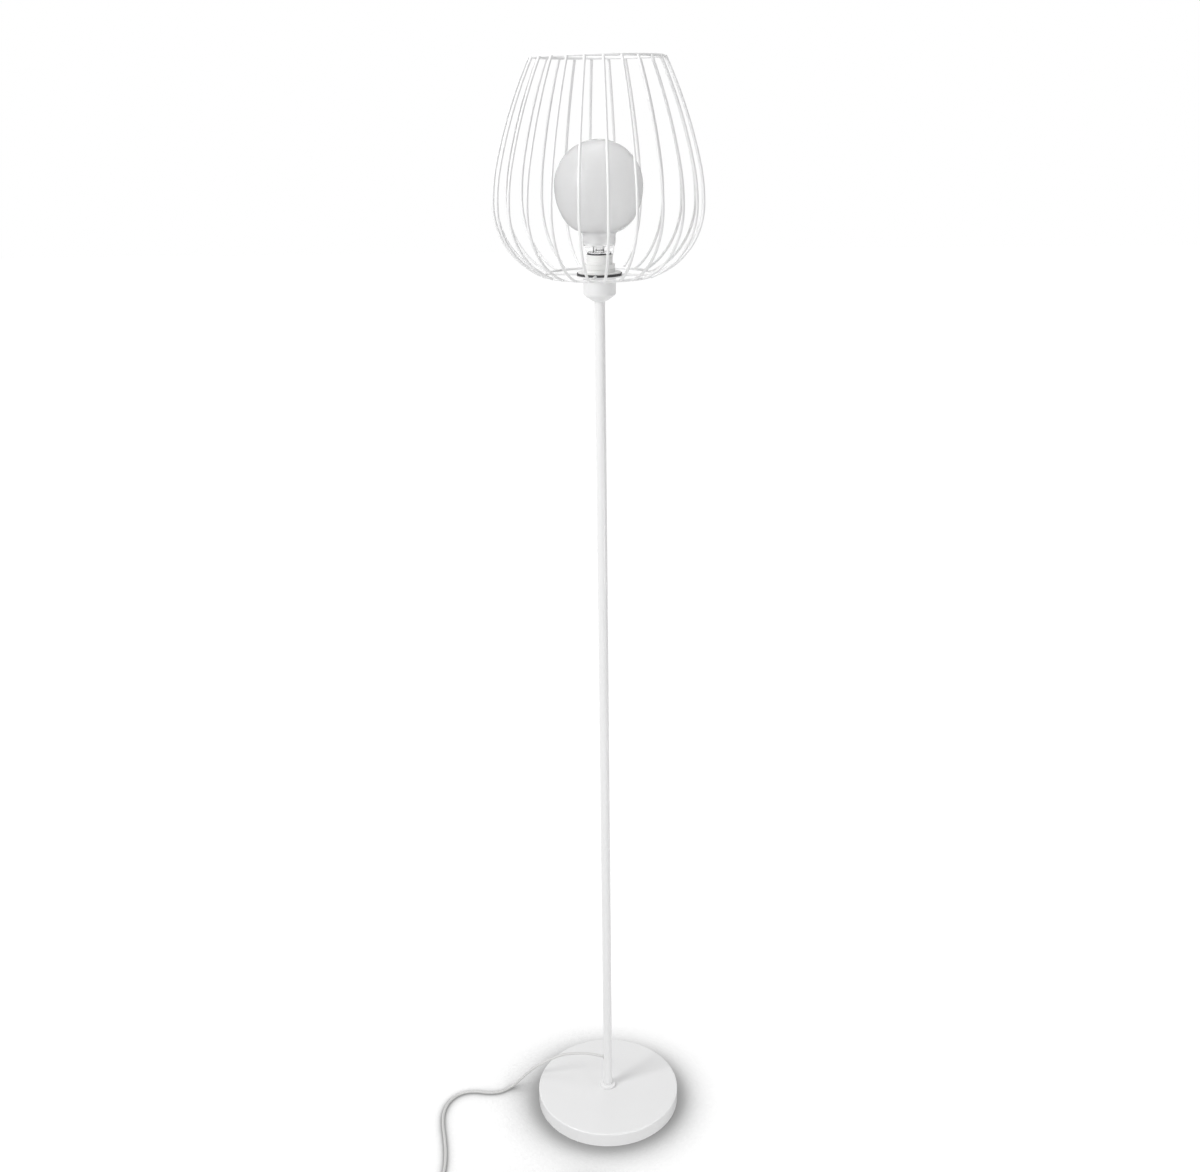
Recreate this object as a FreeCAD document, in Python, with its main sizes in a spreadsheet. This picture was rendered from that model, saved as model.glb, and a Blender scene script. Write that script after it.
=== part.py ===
import FreeCAD, Part
import math
import os
import re

import Sketcher

# White floor lamp: a weighted round base, a slim tubular pole, a lamp holder in a metal cup and a
# bowl-shaped cage of bent wires round a large globe bulb. Millimetres, +Z up. The origin is the
# centre of the base on the floor, +X runs to the viewer's right and -Y points towards the viewer.

SIZES = (
    # base
    ("base_dia", 250, "outside diameter of the base"),
    ("base_height", 26, "top of the base above the floor"),
    ("cover_wall", 1.2, "sheet thickness of the base cover"),
    ("cover_round", 2.4, "outside rounding of the cover's top edge"),
    ("cover_lift", 0.8, "lower edge of the cover above the floor"),
    ("pad_thick", 2, "foam pad under the base"),
    ("pad_inset", 5, "edge of the pad inside the cover's outside"),
    ("weight_gap", 0.3, "side gap between the weight and the cover"),
    ("nut_pocket_dia", 40, "pocket for the nut under the weight"),
    ("nut_pocket_depth", 11, "depth of that pocket"),
    ("washer_dia", 30, "washer on the base stud"),
    ("washer_thick", 2, "thickness of that washer"),
    ("nut_width", 14, "width across the flats of the locknuts"),
    ("nut_height", 5, "height of the locknuts"),
    ("stud_tail", 1, "end of the base stud beyond its nut"),
    # pole
    ("pole_dia", 15.2, "outside diameter of the painted pole"),
    ("pole_wall", 1, "wall of the pole"),
    ("section_length", 468, "length of one pole section"),
    ("bush_length", 14, "length of the threaded bush in each pole end"),
    ("thread_dia", 10, "outside diameter of the hollow threaded rods"),
    ("thread_bore", 7, "bore of the hollow threaded rods"),
    ("fit", 0.05, "radial gap of a close fit"),
    ("slip", 0.2, "radial gap of a loose fit"),
    ("collar_dia", 27.6, "outside diameter of the foot collar"),
    ("collar_height", 6, "height of the foot collar"),
    ("collar_round", 1.6, "rounding of the foot collar's edges"),
    # cord outlet
    ("outlet_height", 86, "height of the cord outlet in the pole"),
    ("outlet_turn", 160, "direction of the outlet, in degrees from +X towards +Y"),
    ("outlet_dia", 7, "hole in the pole for the grommet"),
    ("grommet_flange", 8.6, "diameter of the grommet's flange"),
    ("grommet_lip", 0.8, "thickness of the grommet's flange"),
    ("cord_dia", 4.6, "diameter of the mains cord"),
    ("inner_bend", 5, "bend radius of the cord behind the outlet"),
    # lamp holder and its cup
    ("cup_dia", 47.6, "outside diameter of the cup"),
    ("cup_height", 34.5, "height of the cup"),
    ("cup_cone", 9, "height of the cup's conical bottom"),
    ("cup_foot", 22, "diameter of the cup's flat bottom"),
    ("cup_wall", 1, "sheet thickness of the cup"),
    ("cup_round", 4.5, "rounding between the cup's side and its cone"),
    ("dome_lift", 7, "underside of the holder dome above the cup's bottom"),
    ("dome_dia", 38, "outside diameter of the holder dome"),
    ("dome_height", 18, "height of the holder dome"),
    ("plastic_wall", 2, "wall of the holder's plastic parts"),
    ("dome_slope", 5, "height of the dome's sloping foot"),
    ("dome_inset", 4, "foot of the dome inside its side"),
    ("boss_dia", 15, "diameter of the threaded boss in the dome"),
    ("boss_height", 3, "height of that boss above the dome's bottom"),
    ("nipple_tail", 1, "end of the holder's threaded rod beyond the boss"),
    ("barrel_dia", 38.7, "outside diameter over the holder's thread"),
    ("mouth_drop", 2.2, "mouth of the holder below the lower end of the glass"),
    ("barrel_pitch", 2.8, "pitch of the thread on the barrel"),
    ("barrel_groove", 0.5, "depth of that thread"),
    ("mouth_dia", 33.5, "inside diameter of the holder's mouth"),
    ("core_rise", 7.5, "top face of the insulating core above the cup"),
    ("contact_rise", 2.5, "top of the centre contact above the core"),
    ("core_thick", 11, "thickness of the insulating core"),
    ("core_bore", 4, "bore of the core for the centre contact"),
    ("core_ledge", 2, "ledge in the barrel that the core rests on"),
    ("contact_shank", 3.2, "rivet under the centre contact"),
    ("contact_tip", 5, "top of the centre contact"),
    ("contact_rim", 1, "rim of the centre contact beyond the bulb's contact"),
    ("shell_lip", 3, "inward lip at the foot of the screw shell"),
    ("shell_wall", 0.4, "sheet thickness of the screw shell"),
    ("shell_dia", 27.8, "inside diameter of the screw shell"),
    ("shell_height", 20, "height of the screw shell"),
    ("block_size", 7, "width of a terminal block"),
    ("block_height", 8, "height of a terminal block"),
    ("block_place", 8, "distance of a terminal block from the axis"),
    ("screw_dia", 3, "terminal screws"),
    ("core_space", 2.4, "distance between the insulated cores inside the rod"),
    ("wire_core_dia", 2, "insulated cores inside the holder"),
    # rings that hold the cage
    ("hub_dia", 66, "outside diameter of the cage's centre plate"),
    ("hub_thick", 2, "thickness of the cage's centre plate"),
    ("gasket_thick", 3.3, "thickness of the dark gasket"),
    ("gasket_inset", 0.4, "edge of the gasket inside the edge of the plate"),
    ("ring_dia", 44.8, "outside diameter of the clamping rings"),
    ("flange_dia", 62, "flange of the lower clamping ring"),
    ("flange_thick", 1.6, "thickness of that flange"),
    ("lower_ring_height", 5.6, "height of the lower clamping ring"),
    ("upper_ring_height", 6.8, "height of the upper clamping ring"),
    ("rib_count", 48, "grip ribs round each clamping ring"),
    ("rib_depth", 0.5, "depth of the grooves between the ribs"),
    ("ring_gap", 0.3, "gap between the two clamping rings"),
    # cage
    ("cage_wire", 4, "wire of the bars and the spokes"),
    ("cage_ring_wire", 4, "wire of the two rings"),
    ("top_ring_dia", 182, "centreline diameter of the top ring"),
    ("cage_height", 292.6, "centreline of the top ring above the bottom ring's"),
    ("low_ring_dia", 158.4, "centreline diameter of the bottom ring"),
    ("low_ring_rise", 1.9, "centreline of the bottom ring above the middle of the plate"),
    ("belly_dia", 298.8, "widest centreline diameter of the bars"),
    ("belly_rise", 97.6, "height of the widest place above the bottom ring"),
    ("shoulder_bend", 250, "bend radius of a bar above its widest place"),
    ("shoulder_rise", 56, "height of that bend"),
    ("wire_count", 24, "bars round the cage"),
    ("spoke_count", 4, "spokes from the centre plate to the bottom ring"),
    ("cage_turn", 4.8, "turn of the first bar from the front, in degrees"),
    ("weld", 0.3, "how far welded wires sink into each other"),
    ("foot_lean", 90, "a bar's foot ends beside the bottom ring, this many degrees from straight below it"),
    ("head_lean", -5, "a bar's head lies outside the top ring, this many degrees upwards"),
    # bulb
    ("globe_dia", 126, "diameter of the globe"),
    ("globe_rise", 92, "centre of the globe above the lower end of the glass"),
    ("globe_flank", 85, "bend radius of the globe below its widest place"),
    ("flank_drop", 42.5, "height of that bend"),
    ("globe_turn_in", 45, "bend radius where the globe turns in to its neck"),
    ("neck_fillet", 6, "bend radius where the globe meets the neck"),
    ("neck_dia", 47, "diameter of the neck"),
    ("neck_rise", 18, "straight neck above the lower end of the glass"),
    ("seat_dia", 36, "diameter of the glass at the screw cap"),
    ("glass_wall", 0.8, "wall of the glass"),
    ("cap_dia", 26.4, "diameter of the bulb's screw cap"),
    ("cap_wall", 0.3, "sheet thickness of the cap"),
    ("cap_length", 23.5, "lower end of the glass above the lower end of the bulb"),
    ("button_dia", 9, "diameter of the bulb's centre contact"),
    ("cap_slope", 3, "height of the sloping foot of the cap"),
    ("cap_inset", 2, "foot of the cap inside its side"),
    ("insulator_width", 2, "width of the insulator round the centre contact"),
    ("mount_thick", 1.5, "glass disc that carries the stem"),
    ("stem_dia", 12, "diameter of the glass stem inside the bulb"),
    ("stem_neck", 4, "straight top of the stem"),
    ("stem_height", 24, "height of the stem above the glass's lower end"),
    ("post_dia", 1.4, "stiff posts round the stem"),
    ("post_head", 3, "heads of those posts"),
    ("post_head_thick", 1, "thickness of those heads"),
    ("post_reach", 8, "height of the posts on the disc"),
    ("post_circle", 17, "circle of the posts"),
    ("post_turn", 198, "direction of the first post, in degrees from +X"),
    ("filament_wire", 0.8, "wire of the filament and its leads"),
    ("filament_drop", 8, "filament below the centre of the globe"),
    ("filament_span", 26, "length of the filament"),
    # foot switch
    ("switch_x", -180, "middle of the foot switch along X"),
    ("switch_y", -274, "middle of the foot switch along Y"),
    ("switch_length", 82, "length of the switch housing"),
    ("switch_width", 40, "width of the switch housing"),
    ("switch_split", 9, "height of the lower shell"),
    ("switch_height", 24, "height of the housing"),
    ("switch_corner", 10, "rounding of the housing's corners"),
    ("switch_edge", 3, "rounding of the housing's top edge"),
    ("switch_wall", 2.2, "walls of the housing"),
    ("button_face", 22, "diameter of the foot button"),
    ("button_proud", 4, "foot button above the housing"),
    ("button_flange", 25, "flange that keeps the button in"),
    ("button_flange_thick", 2, "thickness of that flange"),
    ("button_round", 1.5, "rounding of the button's top edge"),
    ("button_gap", 0.3, "gap round the button"),
    ("seat_rim", 1, "spring seat beyond the outside of the spring"),
    ("seat_rise", 6, "spring seat above the floor of the lower shell"),
    ("spring_dia", 9, "outside diameter of the spring"),
    ("spring_wire", 0.9, "wire of the spring"),
    ("spring_turns", 4, "whole turns of the spring"),
    ("terminal_place", 26, "distance of a switch terminal from the button's axis"),
    ("terminal_offset", 6, "switch terminals behind the button's axis"),
    ("blade_thick", 0.8, "thickness of the contact blade"),
    ("blade_inset", 1, "edge of the blade inside the edge of the terminals"),
    ("cord_entry", 8, "cord axis above the floor at the switch"),
    ("sleeve_length", 22, "length of a cord sleeve on the switch"),
    ("sleeve_dia", 9, "large end of a cord sleeve"),
    ("sleeve_tip", 6.4, "small end of a cord sleeve"),
    # coil of spare cord
    ("coil_x", -40, "axis of the coil along X"),
    ("coil_front", -279, "front of the coil's first turn along Y"),
    ("coil_radius", 30, "radius of the coil's outer turn"),
    ("coil_pitch", 5.1, "distance from turn to turn and from layer to layer"),
    # plug
    ("plug_x", 118, "cord end of the plug body along X"),
    ("plug_y", -281, "axis of the plug along Y"),
    ("plug_width", 35.3, "width of the plug body"),
    ("plug_thick", 13.7, "thickness of the plug body"),
    ("plug_length", 36, "length of the plug body"),
    ("plug_face_length", 14, "part of that length with the full width"),
    ("plug_tail_width", 15, "width of the plug body at the cord"),
    ("plug_tail_thick", 11, "thickness of the plug body at the cord"),
    ("relief_length", 25, "length of the plug's cord relief"),
    ("relief_inset", 1, "large end of the relief inside the plug's cord end"),
    ("relief_lip", 0.9, "small end of the relief beyond the cord"),
    ("pin_dia", 4, "diameter of the plug pins"),
    ("pin_length", 19, "length of the plug pins"),
    ("pin_spacing", 18.6, "distance between the pin axes"),
    ("pin_root", 8, "length of a pin inside the plug body"),
    ("pin_sleeve_length", 10, "insulated length of a pin"),
    ("pin_sleeve_dia", 3.4, "diameter of the insulation"),
    ("pin_sleeve_wall", 0.5, "wall of the insulation"),
)

# Heights above the floor that follow from the sizes, from the base up.
HEIGHTS = (
    ("pole_top", "base_height + 3 * section_length"),
    ("cup_top", "pole_top + cup_height"),
    ("core_top", "cup_top + core_rise"),
    ("contact_height", "core_top + contact_rise"),
    ("seat_height", "contact_height + cap_length"),
    ("barrel_top", "seat_height - mouth_drop"),
    ("neck_foot", "seat_height + neck_rise"),
    ("globe_height", "seat_height + globe_rise"),
    ("filament_height", "globe_height - filament_drop"),
    ("low_ring_height", "cup_top + hub_thick / 2 + low_ring_rise"),
    ("belly_height", "low_ring_height + belly_rise"),
    ("shoulder_height", "belly_height + shoulder_rise"),
    ("top_ring_height", "low_ring_height + cage_height"),
)

# The cord from the outlet in the pole to the foot switch. It leaves the pole level, droops past the
# edge of the base, lies on the floor and curves round to the front.
LEAD_ROUTE = (
    (-56, 18.5, 81),
    (-84, 28, 71),
    (-112, 26, 58),
    (-137, 25, 43),
    (-158, 25.5, 21),
    (-175.5, 25.5, 2.3),
    (-195, 11, 2.3),
    (-219, 9, 2.3),
    (-247, 15, 2.3),
    (-272, 8, 2.3),
    (-289, -12, 2.3),
    (-296, -41, 2.3),
    (-293, -73, 2.3),
    (-286, -106, 2.3),
    (-281, -139, 2.3),
    (-279, -171, 2.3),
    (-282, -203, 2.3),
    (-288, -232, 2.3),
    (-284, -258, 4),
)

doc = FreeCAD.newDocument("wire_cage_floor_lamp")
sheet = doc.addObject("Spreadsheet::Sheet", "Sizes")
for row, (alias, number, meaning) in enumerate(SIZES, start=1):
    sheet.set(f"A{row}", alias)
    sheet.set(f"B{row}", str(number))
    sheet.set(f"C{row}", meaning)
    sheet.setAlias(f"B{row}", alias)
for row, (alias, formula) in enumerate(HEIGHTS, start=len(SIZES) + 1):
    sheet.set(f"A{row}", alias)
    sheet.set(f"B{row}", f"={formula}")
    sheet.setAlias(f"B{row}", alias)
doc.recompute()

nodes = []


def sized(formula):
    """The formula with every size in it looked up in the sheet."""
    return re.sub(r"\b([a-z][a-z_]*)\b(?!\()", r"Sizes.\1", formula)


def value(formula):
    """The number that a formula of sizes gives now."""
    return float(sheet.evalExpression(sized(formula)))


def bind(feature, **formulas):
    """Ties properties of a feature to formulas of sizes."""
    for name, formula in formulas.items():
        feature.setExpression(name, sized(formula))


def place(feature, x="0", y="0", z="0"):
    """Ties the position of a feature to formulas of sizes."""
    for axis, formula in zip("xyz", (x, y, z)):
        feature.setExpression(f".Placement.Base.{axis}", sized(formula))


def turn(feature, degrees, axis=(0, 0, 1)):
    """Ties the angle of a feature about an axis to a formula of sizes."""
    feature.Placement = FreeCAD.Placement(FreeCAD.Vector(), FreeCAD.Rotation(FreeCAD.Vector(*axis), 1))
    feature.setExpression(".Placement.Rotation.Angle", sized(degrees))


def node(feature, label):
    """Makes a feature one of the lamp's separate pieces."""
    feature.Label = label
    nodes.append(feature)
    return feature


def origin_part(body, role):
    return next(part for part in body.Origin.OriginFeatures if part.Role == role)


def cylinder(name, dia, height, z="0", x="0", y="0", lean=None):
    """An upright rod, or one laid along an axis when lean says how it is turned."""
    rod = doc.addObject("Part::Cylinder", name)
    bind(rod, Radius=f"({dia}) / 2", Height=height)
    if lean:
        axis, degrees = lean
        turn(rod, degrees, axis)
    place(rod, x, y, z)
    return rod


def boolean(kind, name, first, *others):
    """Cuts, joins or intersects features; kind is Cut, MultiFuse or MultiCommon."""
    result = doc.addObject(f"Part::{kind}", name)
    if kind == "Cut":
        result.Base = first
        result.Tool = others[0]
    else:
        result.Shapes = [first, *others]
    return result


def ring(name, dia, bore, height, z):
    """A flat ring or a tube round the lamp's axis."""
    outside = cylinder(f"{name}_outside", dia, height, z)
    inside = cylinder(f"{name}_bore", bore, f"{height} + 2", f"{z} - 1")
    return boolean("Cut", name, outside, inside)


def group(name, features):
    """Several like solids as one piece of the model."""
    compound = doc.addObject("Part::Compound", name)
    compound.Links = features
    return compound


def sketch_in(body, name, role, offset=None):
    """A sketch on one of the origin planes of its own body."""
    sketch = body.newObject("Sketcher::SketchObject", name)
    sketch.AttachmentSupport = [(origin_part(body, role), "")]
    sketch.MapMode = "FlatFace"
    if offset:
        sketch.setExpression(".AttachmentOffset.Base.z", sized(offset))
    return sketch


def dimension(sketch, kind, *where, formula):
    """A driving dimension of a sketch, tied to a formula of sizes."""
    index = sketch.addConstraint(Sketcher.Constraint(kind, *where, value(formula)))
    sketch.setExpression(f"Constraints[{index}]", sized(formula))


def pin_point(sketch, geometry, end, across, up):
    """Dimensions one point of a sketch from its origin."""
    for kind, formula in (("DistanceX", across), ("DistanceY", up)):
        if formula == "0":
            axis = -2 if kind == "DistanceX" else -1
            sketch.addConstraint(Sketcher.Constraint("PointOnObject", geometry, end, axis))
        else:
            dimension(sketch, kind, -1, 1, geometry, end, formula=formula)


def outline(sketch, corners):
    """A closed outline of straight lines through dimensioned corners."""
    places = [FreeCAD.Vector(value(across), value(up), 0) for across, up in corners]
    for start, end in zip(places, places[1:] + places[:1]):
        sketch.addGeometry(Part.LineSegment(start, end))
    for index in range(len(corners)):
        following = (index + 1) % len(corners)
        sketch.addConstraint(Sketcher.Constraint("Coincident", index, 2, following, 1))
    for index, (across, up) in enumerate(corners):
        pin_point(sketch, index, 1, across, up)


def rims(shape, circles):
    """The names of a shape's edges that are circles of these radii at these heights."""
    wanted = [(value(radius), value(height)) for radius, height in circles]
    names = []
    for index, edge in enumerate(shape.Edges, start=1):
        curve = edge.Curve
        if not isinstance(curve, Part.Circle):
            continue
        for radius, height in wanted:
            if abs(curve.Radius - radius) < 0.01 and abs(curve.Center.z - height) < 0.01:
                names.append(f"Edge{index}")
    return names


def turned(name, corners, rounds=None, round_radius=None):
    """A piece turned round Z from an outline of (radius, height) corners, with rounded rims."""
    body = doc.addObject("PartDesign::Body", name)
    sketch = sketch_in(body, f"{name}_outline", "XZ_Plane")
    outline(sketch, corners)
    solid = body.newObject("PartDesign::Revolution", f"{name}_turned")
    solid.Profile = sketch
    solid.ReferenceAxis = (origin_part(body, "Z_Axis"), [""])
    solid.Angle = 360
    doc.recompute()
    if rounds:
        fillet = body.newObject("PartDesign::Fillet", f"{name}_rounding")
        fillet.Base = (solid, rims(solid.Shape, rounds))
        bind(fillet, Radius=round_radius)
        doc.recompute()
    return body


def hex_nut(name, width, height, bore, z):
    """A hexagon nut round the lamp's axis."""
    prism = doc.addObject("Part::Prism", f"{name}_hexagon")
    prism.Polygon = 6
    bind(prism, Circumradius=f"({width}) / sqrt(3)", Height=height)
    place(prism, z=z)
    hole = cylinder(f"{name}_hole", bore, f"{height} + 2", f"{z} - 1")
    return boolean("Cut", name, prism, hole)


def solid_tube(label, path, dia):
    """A round tube along a wire, checked against its section times its length."""
    start = path.Edges[0]
    direction = start.tangentAt(start.FirstParameter)
    section = Part.Wire(Part.makeCircle(dia / 2, start.valueAt(start.FirstParameter), direction))
    shell = Part.BRepOffsetAPI.MakePipeShell(path)
    shell.add(section)
    shell.build()
    shell.makeSolid()
    tube = shell.shape()
    expected = math.pi * dia**2 / 4 * path.Length
    print(f"{label}: length {path.Length:.1f}, volume / (section x length) {tube.Volume / expected:.4f}")
    return tube


def rounded_path(label, points):
    """Straight runs between points, joined by tangent arcs as large as the runs allow."""
    places = [FreeCAD.Vector(*point) for point in points]
    edges = []
    radii = []
    start = places[0]
    for before, corner, after in zip(places, places[1:], places[2:]):
        back = before - corner
        onward = after - corner
        trim = 0.45 * min(back.Length, onward.Length)
        half_turn = (math.pi - back.getAngle(onward)) / 2
        radius = trim / math.tan(half_turn)
        back.normalize()
        onward.normalize()
        inward = back + onward
        inward.normalize()
        arc_start = corner + back * trim
        arc_end = corner + onward * trim
        arc_middle = corner + inward * (radius / math.cos(half_turn) - radius)
        edges.append(Part.LineSegment(start, arc_start).toShape())
        edges.append(Part.Arc(arc_start, arc_middle, arc_end).toShape())
        radii.append(round(radius))
        start = arc_end
    edges.append(Part.LineSegment(start, places[-1]).toShape())
    print(f"{label}: arc radii {radii}")
    return Part.Wire(edges)


def arc_leaving(start, heading, end):
    """The arc from start to end that leaves start along heading."""
    chord = end - start
    along = FreeCAD.Vector(chord).normalize()
    sideways = heading - along * heading.dot(along)
    sideways.normalize()
    rise = chord.Length / 2 * math.tan(heading.getAngle(chord) / 2)
    return Part.Arc(start, start + chord * 0.5 + sideways * rise, end).toShape()


def climbing_half_turn(start, heading, end):
    """Two tangent quarter turns from start to end, level and opposite at both ends."""
    reach = (end - start).Length / 2
    middle = (start + end) * 0.5 + heading * reach
    first = arc_leaving(start, heading, middle)
    second = arc_leaving(middle, first.tangentAt(first.LastParameter), end)
    return [first, second]


def free_piece(label, shape):
    """A piece whose shape is worked out here, because it follows a free path."""
    feature = doc.addObject("Part::Feature", label)
    feature.Shape = shape
    return node(feature, label)


# ---- base: pressed cover over a cast weight, held on the pole by a hollow stud ----

cover_inside = "base_dia / 2 - cover_wall"
cover_top_inside = "base_height - cover_wall"
stud_hole = "thread_dia / 2 + slip"
node(
    turned(
        "base_cover",
        [
            (stud_hole, cover_top_inside),
            (cover_inside, cover_top_inside),
            (cover_inside, "cover_lift"),
            ("base_dia / 2", "cover_lift"),
            ("base_dia / 2", "base_height"),
            (stud_hole, "base_height"),
        ],
        rounds=[("base_dia / 2", "base_height")],
        round_radius="cover_round",
    ),
    "base_cover",
)
weight_radius = f"{cover_inside} - weight_gap"
pocket_top = "pad_thick + nut_pocket_depth"
node(
    turned(
        "base_weight",
        [
            (stud_hole, pocket_top),
            ("nut_pocket_dia / 2", pocket_top),
            ("nut_pocket_dia / 2", "pad_thick"),
            (weight_radius, "pad_thick"),
            (weight_radius, f"{cover_top_inside}"),
            (stud_hole, f"{cover_top_inside}"),
        ],
    ),
    "base_weight",
)
node(cylinder("base_pad", "base_dia - 2 * pad_inset", "pad_thick"), "base_pad")
washer_low = f"{pocket_top} - washer_thick"
node(ring("base_washer", "washer_dia", "thread_dia + 2 * slip", "washer_thick", washer_low), "base_washer")
nut_low = f"{washer_low} - nut_height"
base_nut = hex_nut("base_nut", "nut_width", "nut_height", "thread_dia + 2 * fit", nut_low)
stud_low = f"{nut_low} - stud_tail"
stud_height = f"base_height + bush_length - ({stud_low})"
node(ring("base_stud", "thread_dia", "thread_bore", stud_height, stud_low), "base_stud")

# ---- pole: three screwed tubes with a threaded bush in every end ----

section_foot = [f"base_height + {index} * section_length" for index in range(3)]
pole_bore = "pole_dia - 2 * pole_wall"
node(
    turned(
        "foot_collar",
        [
            ("pole_dia / 2 + slip", "base_height"),
            ("collar_dia / 2", "base_height"),
            ("collar_dia / 2", "base_height + collar_height"),
            ("pole_dia / 2 + slip", "base_height + collar_height"),
        ],
        rounds=[("collar_dia / 2", "base_height"), ("collar_dia / 2", "base_height + collar_height")],
        round_radius="collar_round",
    ),
    "foot_collar",
)
outlet_lean = FreeCAD.Rotation(FreeCAD.Vector(0, 0, 1), FreeCAD.Vector(1, 0, 0))


def towards_outlet(name, dia, start, length):
    """A rod that points out of the pole along the outlet's axis, from a distance off the pole's axis."""
    rod = doc.addObject("Part::Cylinder", name)
    bind(rod, Radius=f"({dia}) / 2", Height=length)
    rod.Placement = FreeCAD.Placement(FreeCAD.Vector(), outlet_lean)
    place(rod, z="outlet_height", x=start)
    turned_rod = doc.addObject("Part::Compound", f"{name}_turned")
    turned_rod.Links = [rod]
    turn(turned_rod, "outlet_turn")
    return turned_rod


pole_names = ("pole_lower", "pole_middle", "pole_upper")
for name, foot in zip(pole_names, section_foot):
    if name == "pole_lower":
        blank = ring("pole_lower_tube", "pole_dia", pole_bore, "section_length", foot)
        hole = towards_outlet("outlet_drill", "outlet_dia", "pole_dia / 4", "pole_dia / 2")
        node(boolean("Cut", name, blank, hole), name)
    else:
        node(ring(name, "pole_dia", pole_bore, "section_length", foot), name)
bushes = []
for number, foot in enumerate(section_foot, start=1):
    for end, low in (("foot", foot), ("head", f"{foot} + section_length - bush_length")):
        name = f"bush_{number}_{end}"
        bushes.append(ring(name, pole_bore, "thread_dia + 2 * fit", "bush_length", low))
node(group("pole_bushes", bushes), "pole_bushes")
joints = []
for number, foot in enumerate(section_foot[1:], start=1):
    low = f"{foot} - bush_length"
    joints.append(ring(f"joint_{number}", "thread_dia", "thread_bore", "2 * bush_length", low))
node(group("pole_nipples", joints), "pole_nipples")

# ---- cord outlet: a plastic grommet in the pole's wall and the cord inside the pole ----

lip_radius = "pole_dia / 2 + grommet_lip"
flange_rod = towards_outlet("grommet_flange_rod", "grommet_flange", "pole_dia / 4", "pole_dia / 2")
band_low = "outlet_height - outlet_dia"
flange_band = ring("grommet_band", f"2 * ({lip_radius})", "pole_dia", "2 * outlet_dia", band_low)
flange = boolean("MultiCommon", "grommet_lip_ring", flange_rod, flange_band)
neck_inside = "pole_dia / 2 - 2 * pole_wall"
neck_rod = towards_outlet("grommet_neck_rod", "outlet_dia - 2 * fit", f"{neck_inside}", "2 * pole_wall")
neck_band = ring("grommet_neck_band", "pole_dia", f"2 * ({neck_inside})", "2 * outlet_dia", band_low)
neck = boolean("MultiCommon", "grommet_neck", neck_rod, neck_band)
grommet_blank = boolean("MultiFuse", "grommet_blank", flange, neck)
grommet_bore = towards_outlet("grommet_bore", "cord_dia + 2 * fit", "0", "pole_dia")
node(boolean("Cut", "cord_grommet", grommet_blank, grommet_bore), "cord_grommet")

outlet_angle = math.radians(value("outlet_turn"))
outwards = FreeCAD.Vector(math.cos(outlet_angle), math.sin(outlet_angle), 0)
outlet_axis = FreeCAD.Vector(0, 0, value("outlet_height"))
outlet_mouth = outlet_axis + outwards * value(f"{lip_radius} + 0.2")
inner_bend = value("inner_bend")
bend_top = outlet_axis + FreeCAD.Vector(0, 0, inner_bend)
bend_middle = outlet_axis + (outwards + FreeCAD.Vector(0, 0, 1)) * inner_bend * (1 - math.sqrt(0.5))
cord_top = FreeCAD.Vector(0, 0, value("pole_top + cup_wall + nut_height + stud_tail"))
inner_path = Part.Wire(
    [
        Part.LineSegment(cord_top, bend_top).toShape(),
        Part.Arc(bend_top, bend_middle, outlet_axis + outwards * inner_bend).toShape(),
        Part.LineSegment(outlet_axis + outwards * inner_bend, outlet_mouth).toShape(),
    ]
)
free_piece("pole_cord", solid_tube("pole_cord", inner_path, value("cord_dia")))

# ---- cup on the pole's top, with the threaded rod and nut that hold the holder ----

cone_top = "pole_top + cup_cone"
node(
    turned(
        "holder_cup",
        [
            (stud_hole, "pole_top"),
            ("cup_foot / 2", "pole_top"),
            ("cup_dia / 2", cone_top),
            ("cup_dia / 2", "cup_top"),
            ("cup_dia / 2 - cup_wall", "cup_top"),
            ("cup_dia / 2 - cup_wall", f"{cone_top} + cup_wall / 2"),
            ("cup_foot / 2 - cup_wall / 2", "pole_top + cup_wall"),
            (stud_hole, "pole_top + cup_wall"),
        ],
        rounds=[("cup_dia / 2", cone_top)],
        round_radius="cup_round",
    ),
    "holder_cup",
)
nipple_low = "pole_top - bush_length"
nipple_height = "bush_length + dome_lift + plastic_wall + boss_height + nipple_tail"
node(ring("head_nipple", "thread_dia", "thread_bore", nipple_height, nipple_low), "head_nipple")
head_nut_low = "pole_top + cup_wall"
head_nut = hex_nut("head_nut", "nut_width", "nut_height", "thread_dia + 2 * fit", head_nut_low)
node(group("lock_nuts", [base_nut, head_nut]), "lock_nuts")

# ---- lamp holder: dome, threaded barrel, insulating core and its brass parts ----

dome_low = "pole_top + dome_lift"
dome_top = f"{dome_low} + dome_height"
boss_bore = "thread_dia / 2 + fit"
node(
    turned(
        "holder_dome",
        [
            (boss_bore, dome_low),
            ("dome_dia / 2 - dome_inset", dome_low),
            ("dome_dia / 2", f"{dome_low} + dome_slope"),
            ("dome_dia / 2", dome_top),
            ("dome_dia / 2 - plastic_wall", dome_top),
            ("dome_dia / 2 - plastic_wall", f"{dome_low} + dome_slope + plastic_wall / 2"),
            ("dome_dia / 2 - dome_inset - plastic_wall / 2", f"{dome_low} + plastic_wall"),
            ("boss_dia / 2", f"{dome_low} + plastic_wall"),
            ("boss_dia / 2", f"{dome_low} + plastic_wall + boss_height"),
            (boss_bore, f"{dome_low} + plastic_wall + boss_height"),
        ],
    ),
    "holder_dome",
)
core_low = "core_top - core_thick"
groove_count = 9
barrel_outline = [("mouth_dia / 2 - core_ledge", dome_top), ("barrel_dia / 2", dome_top)]
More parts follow.
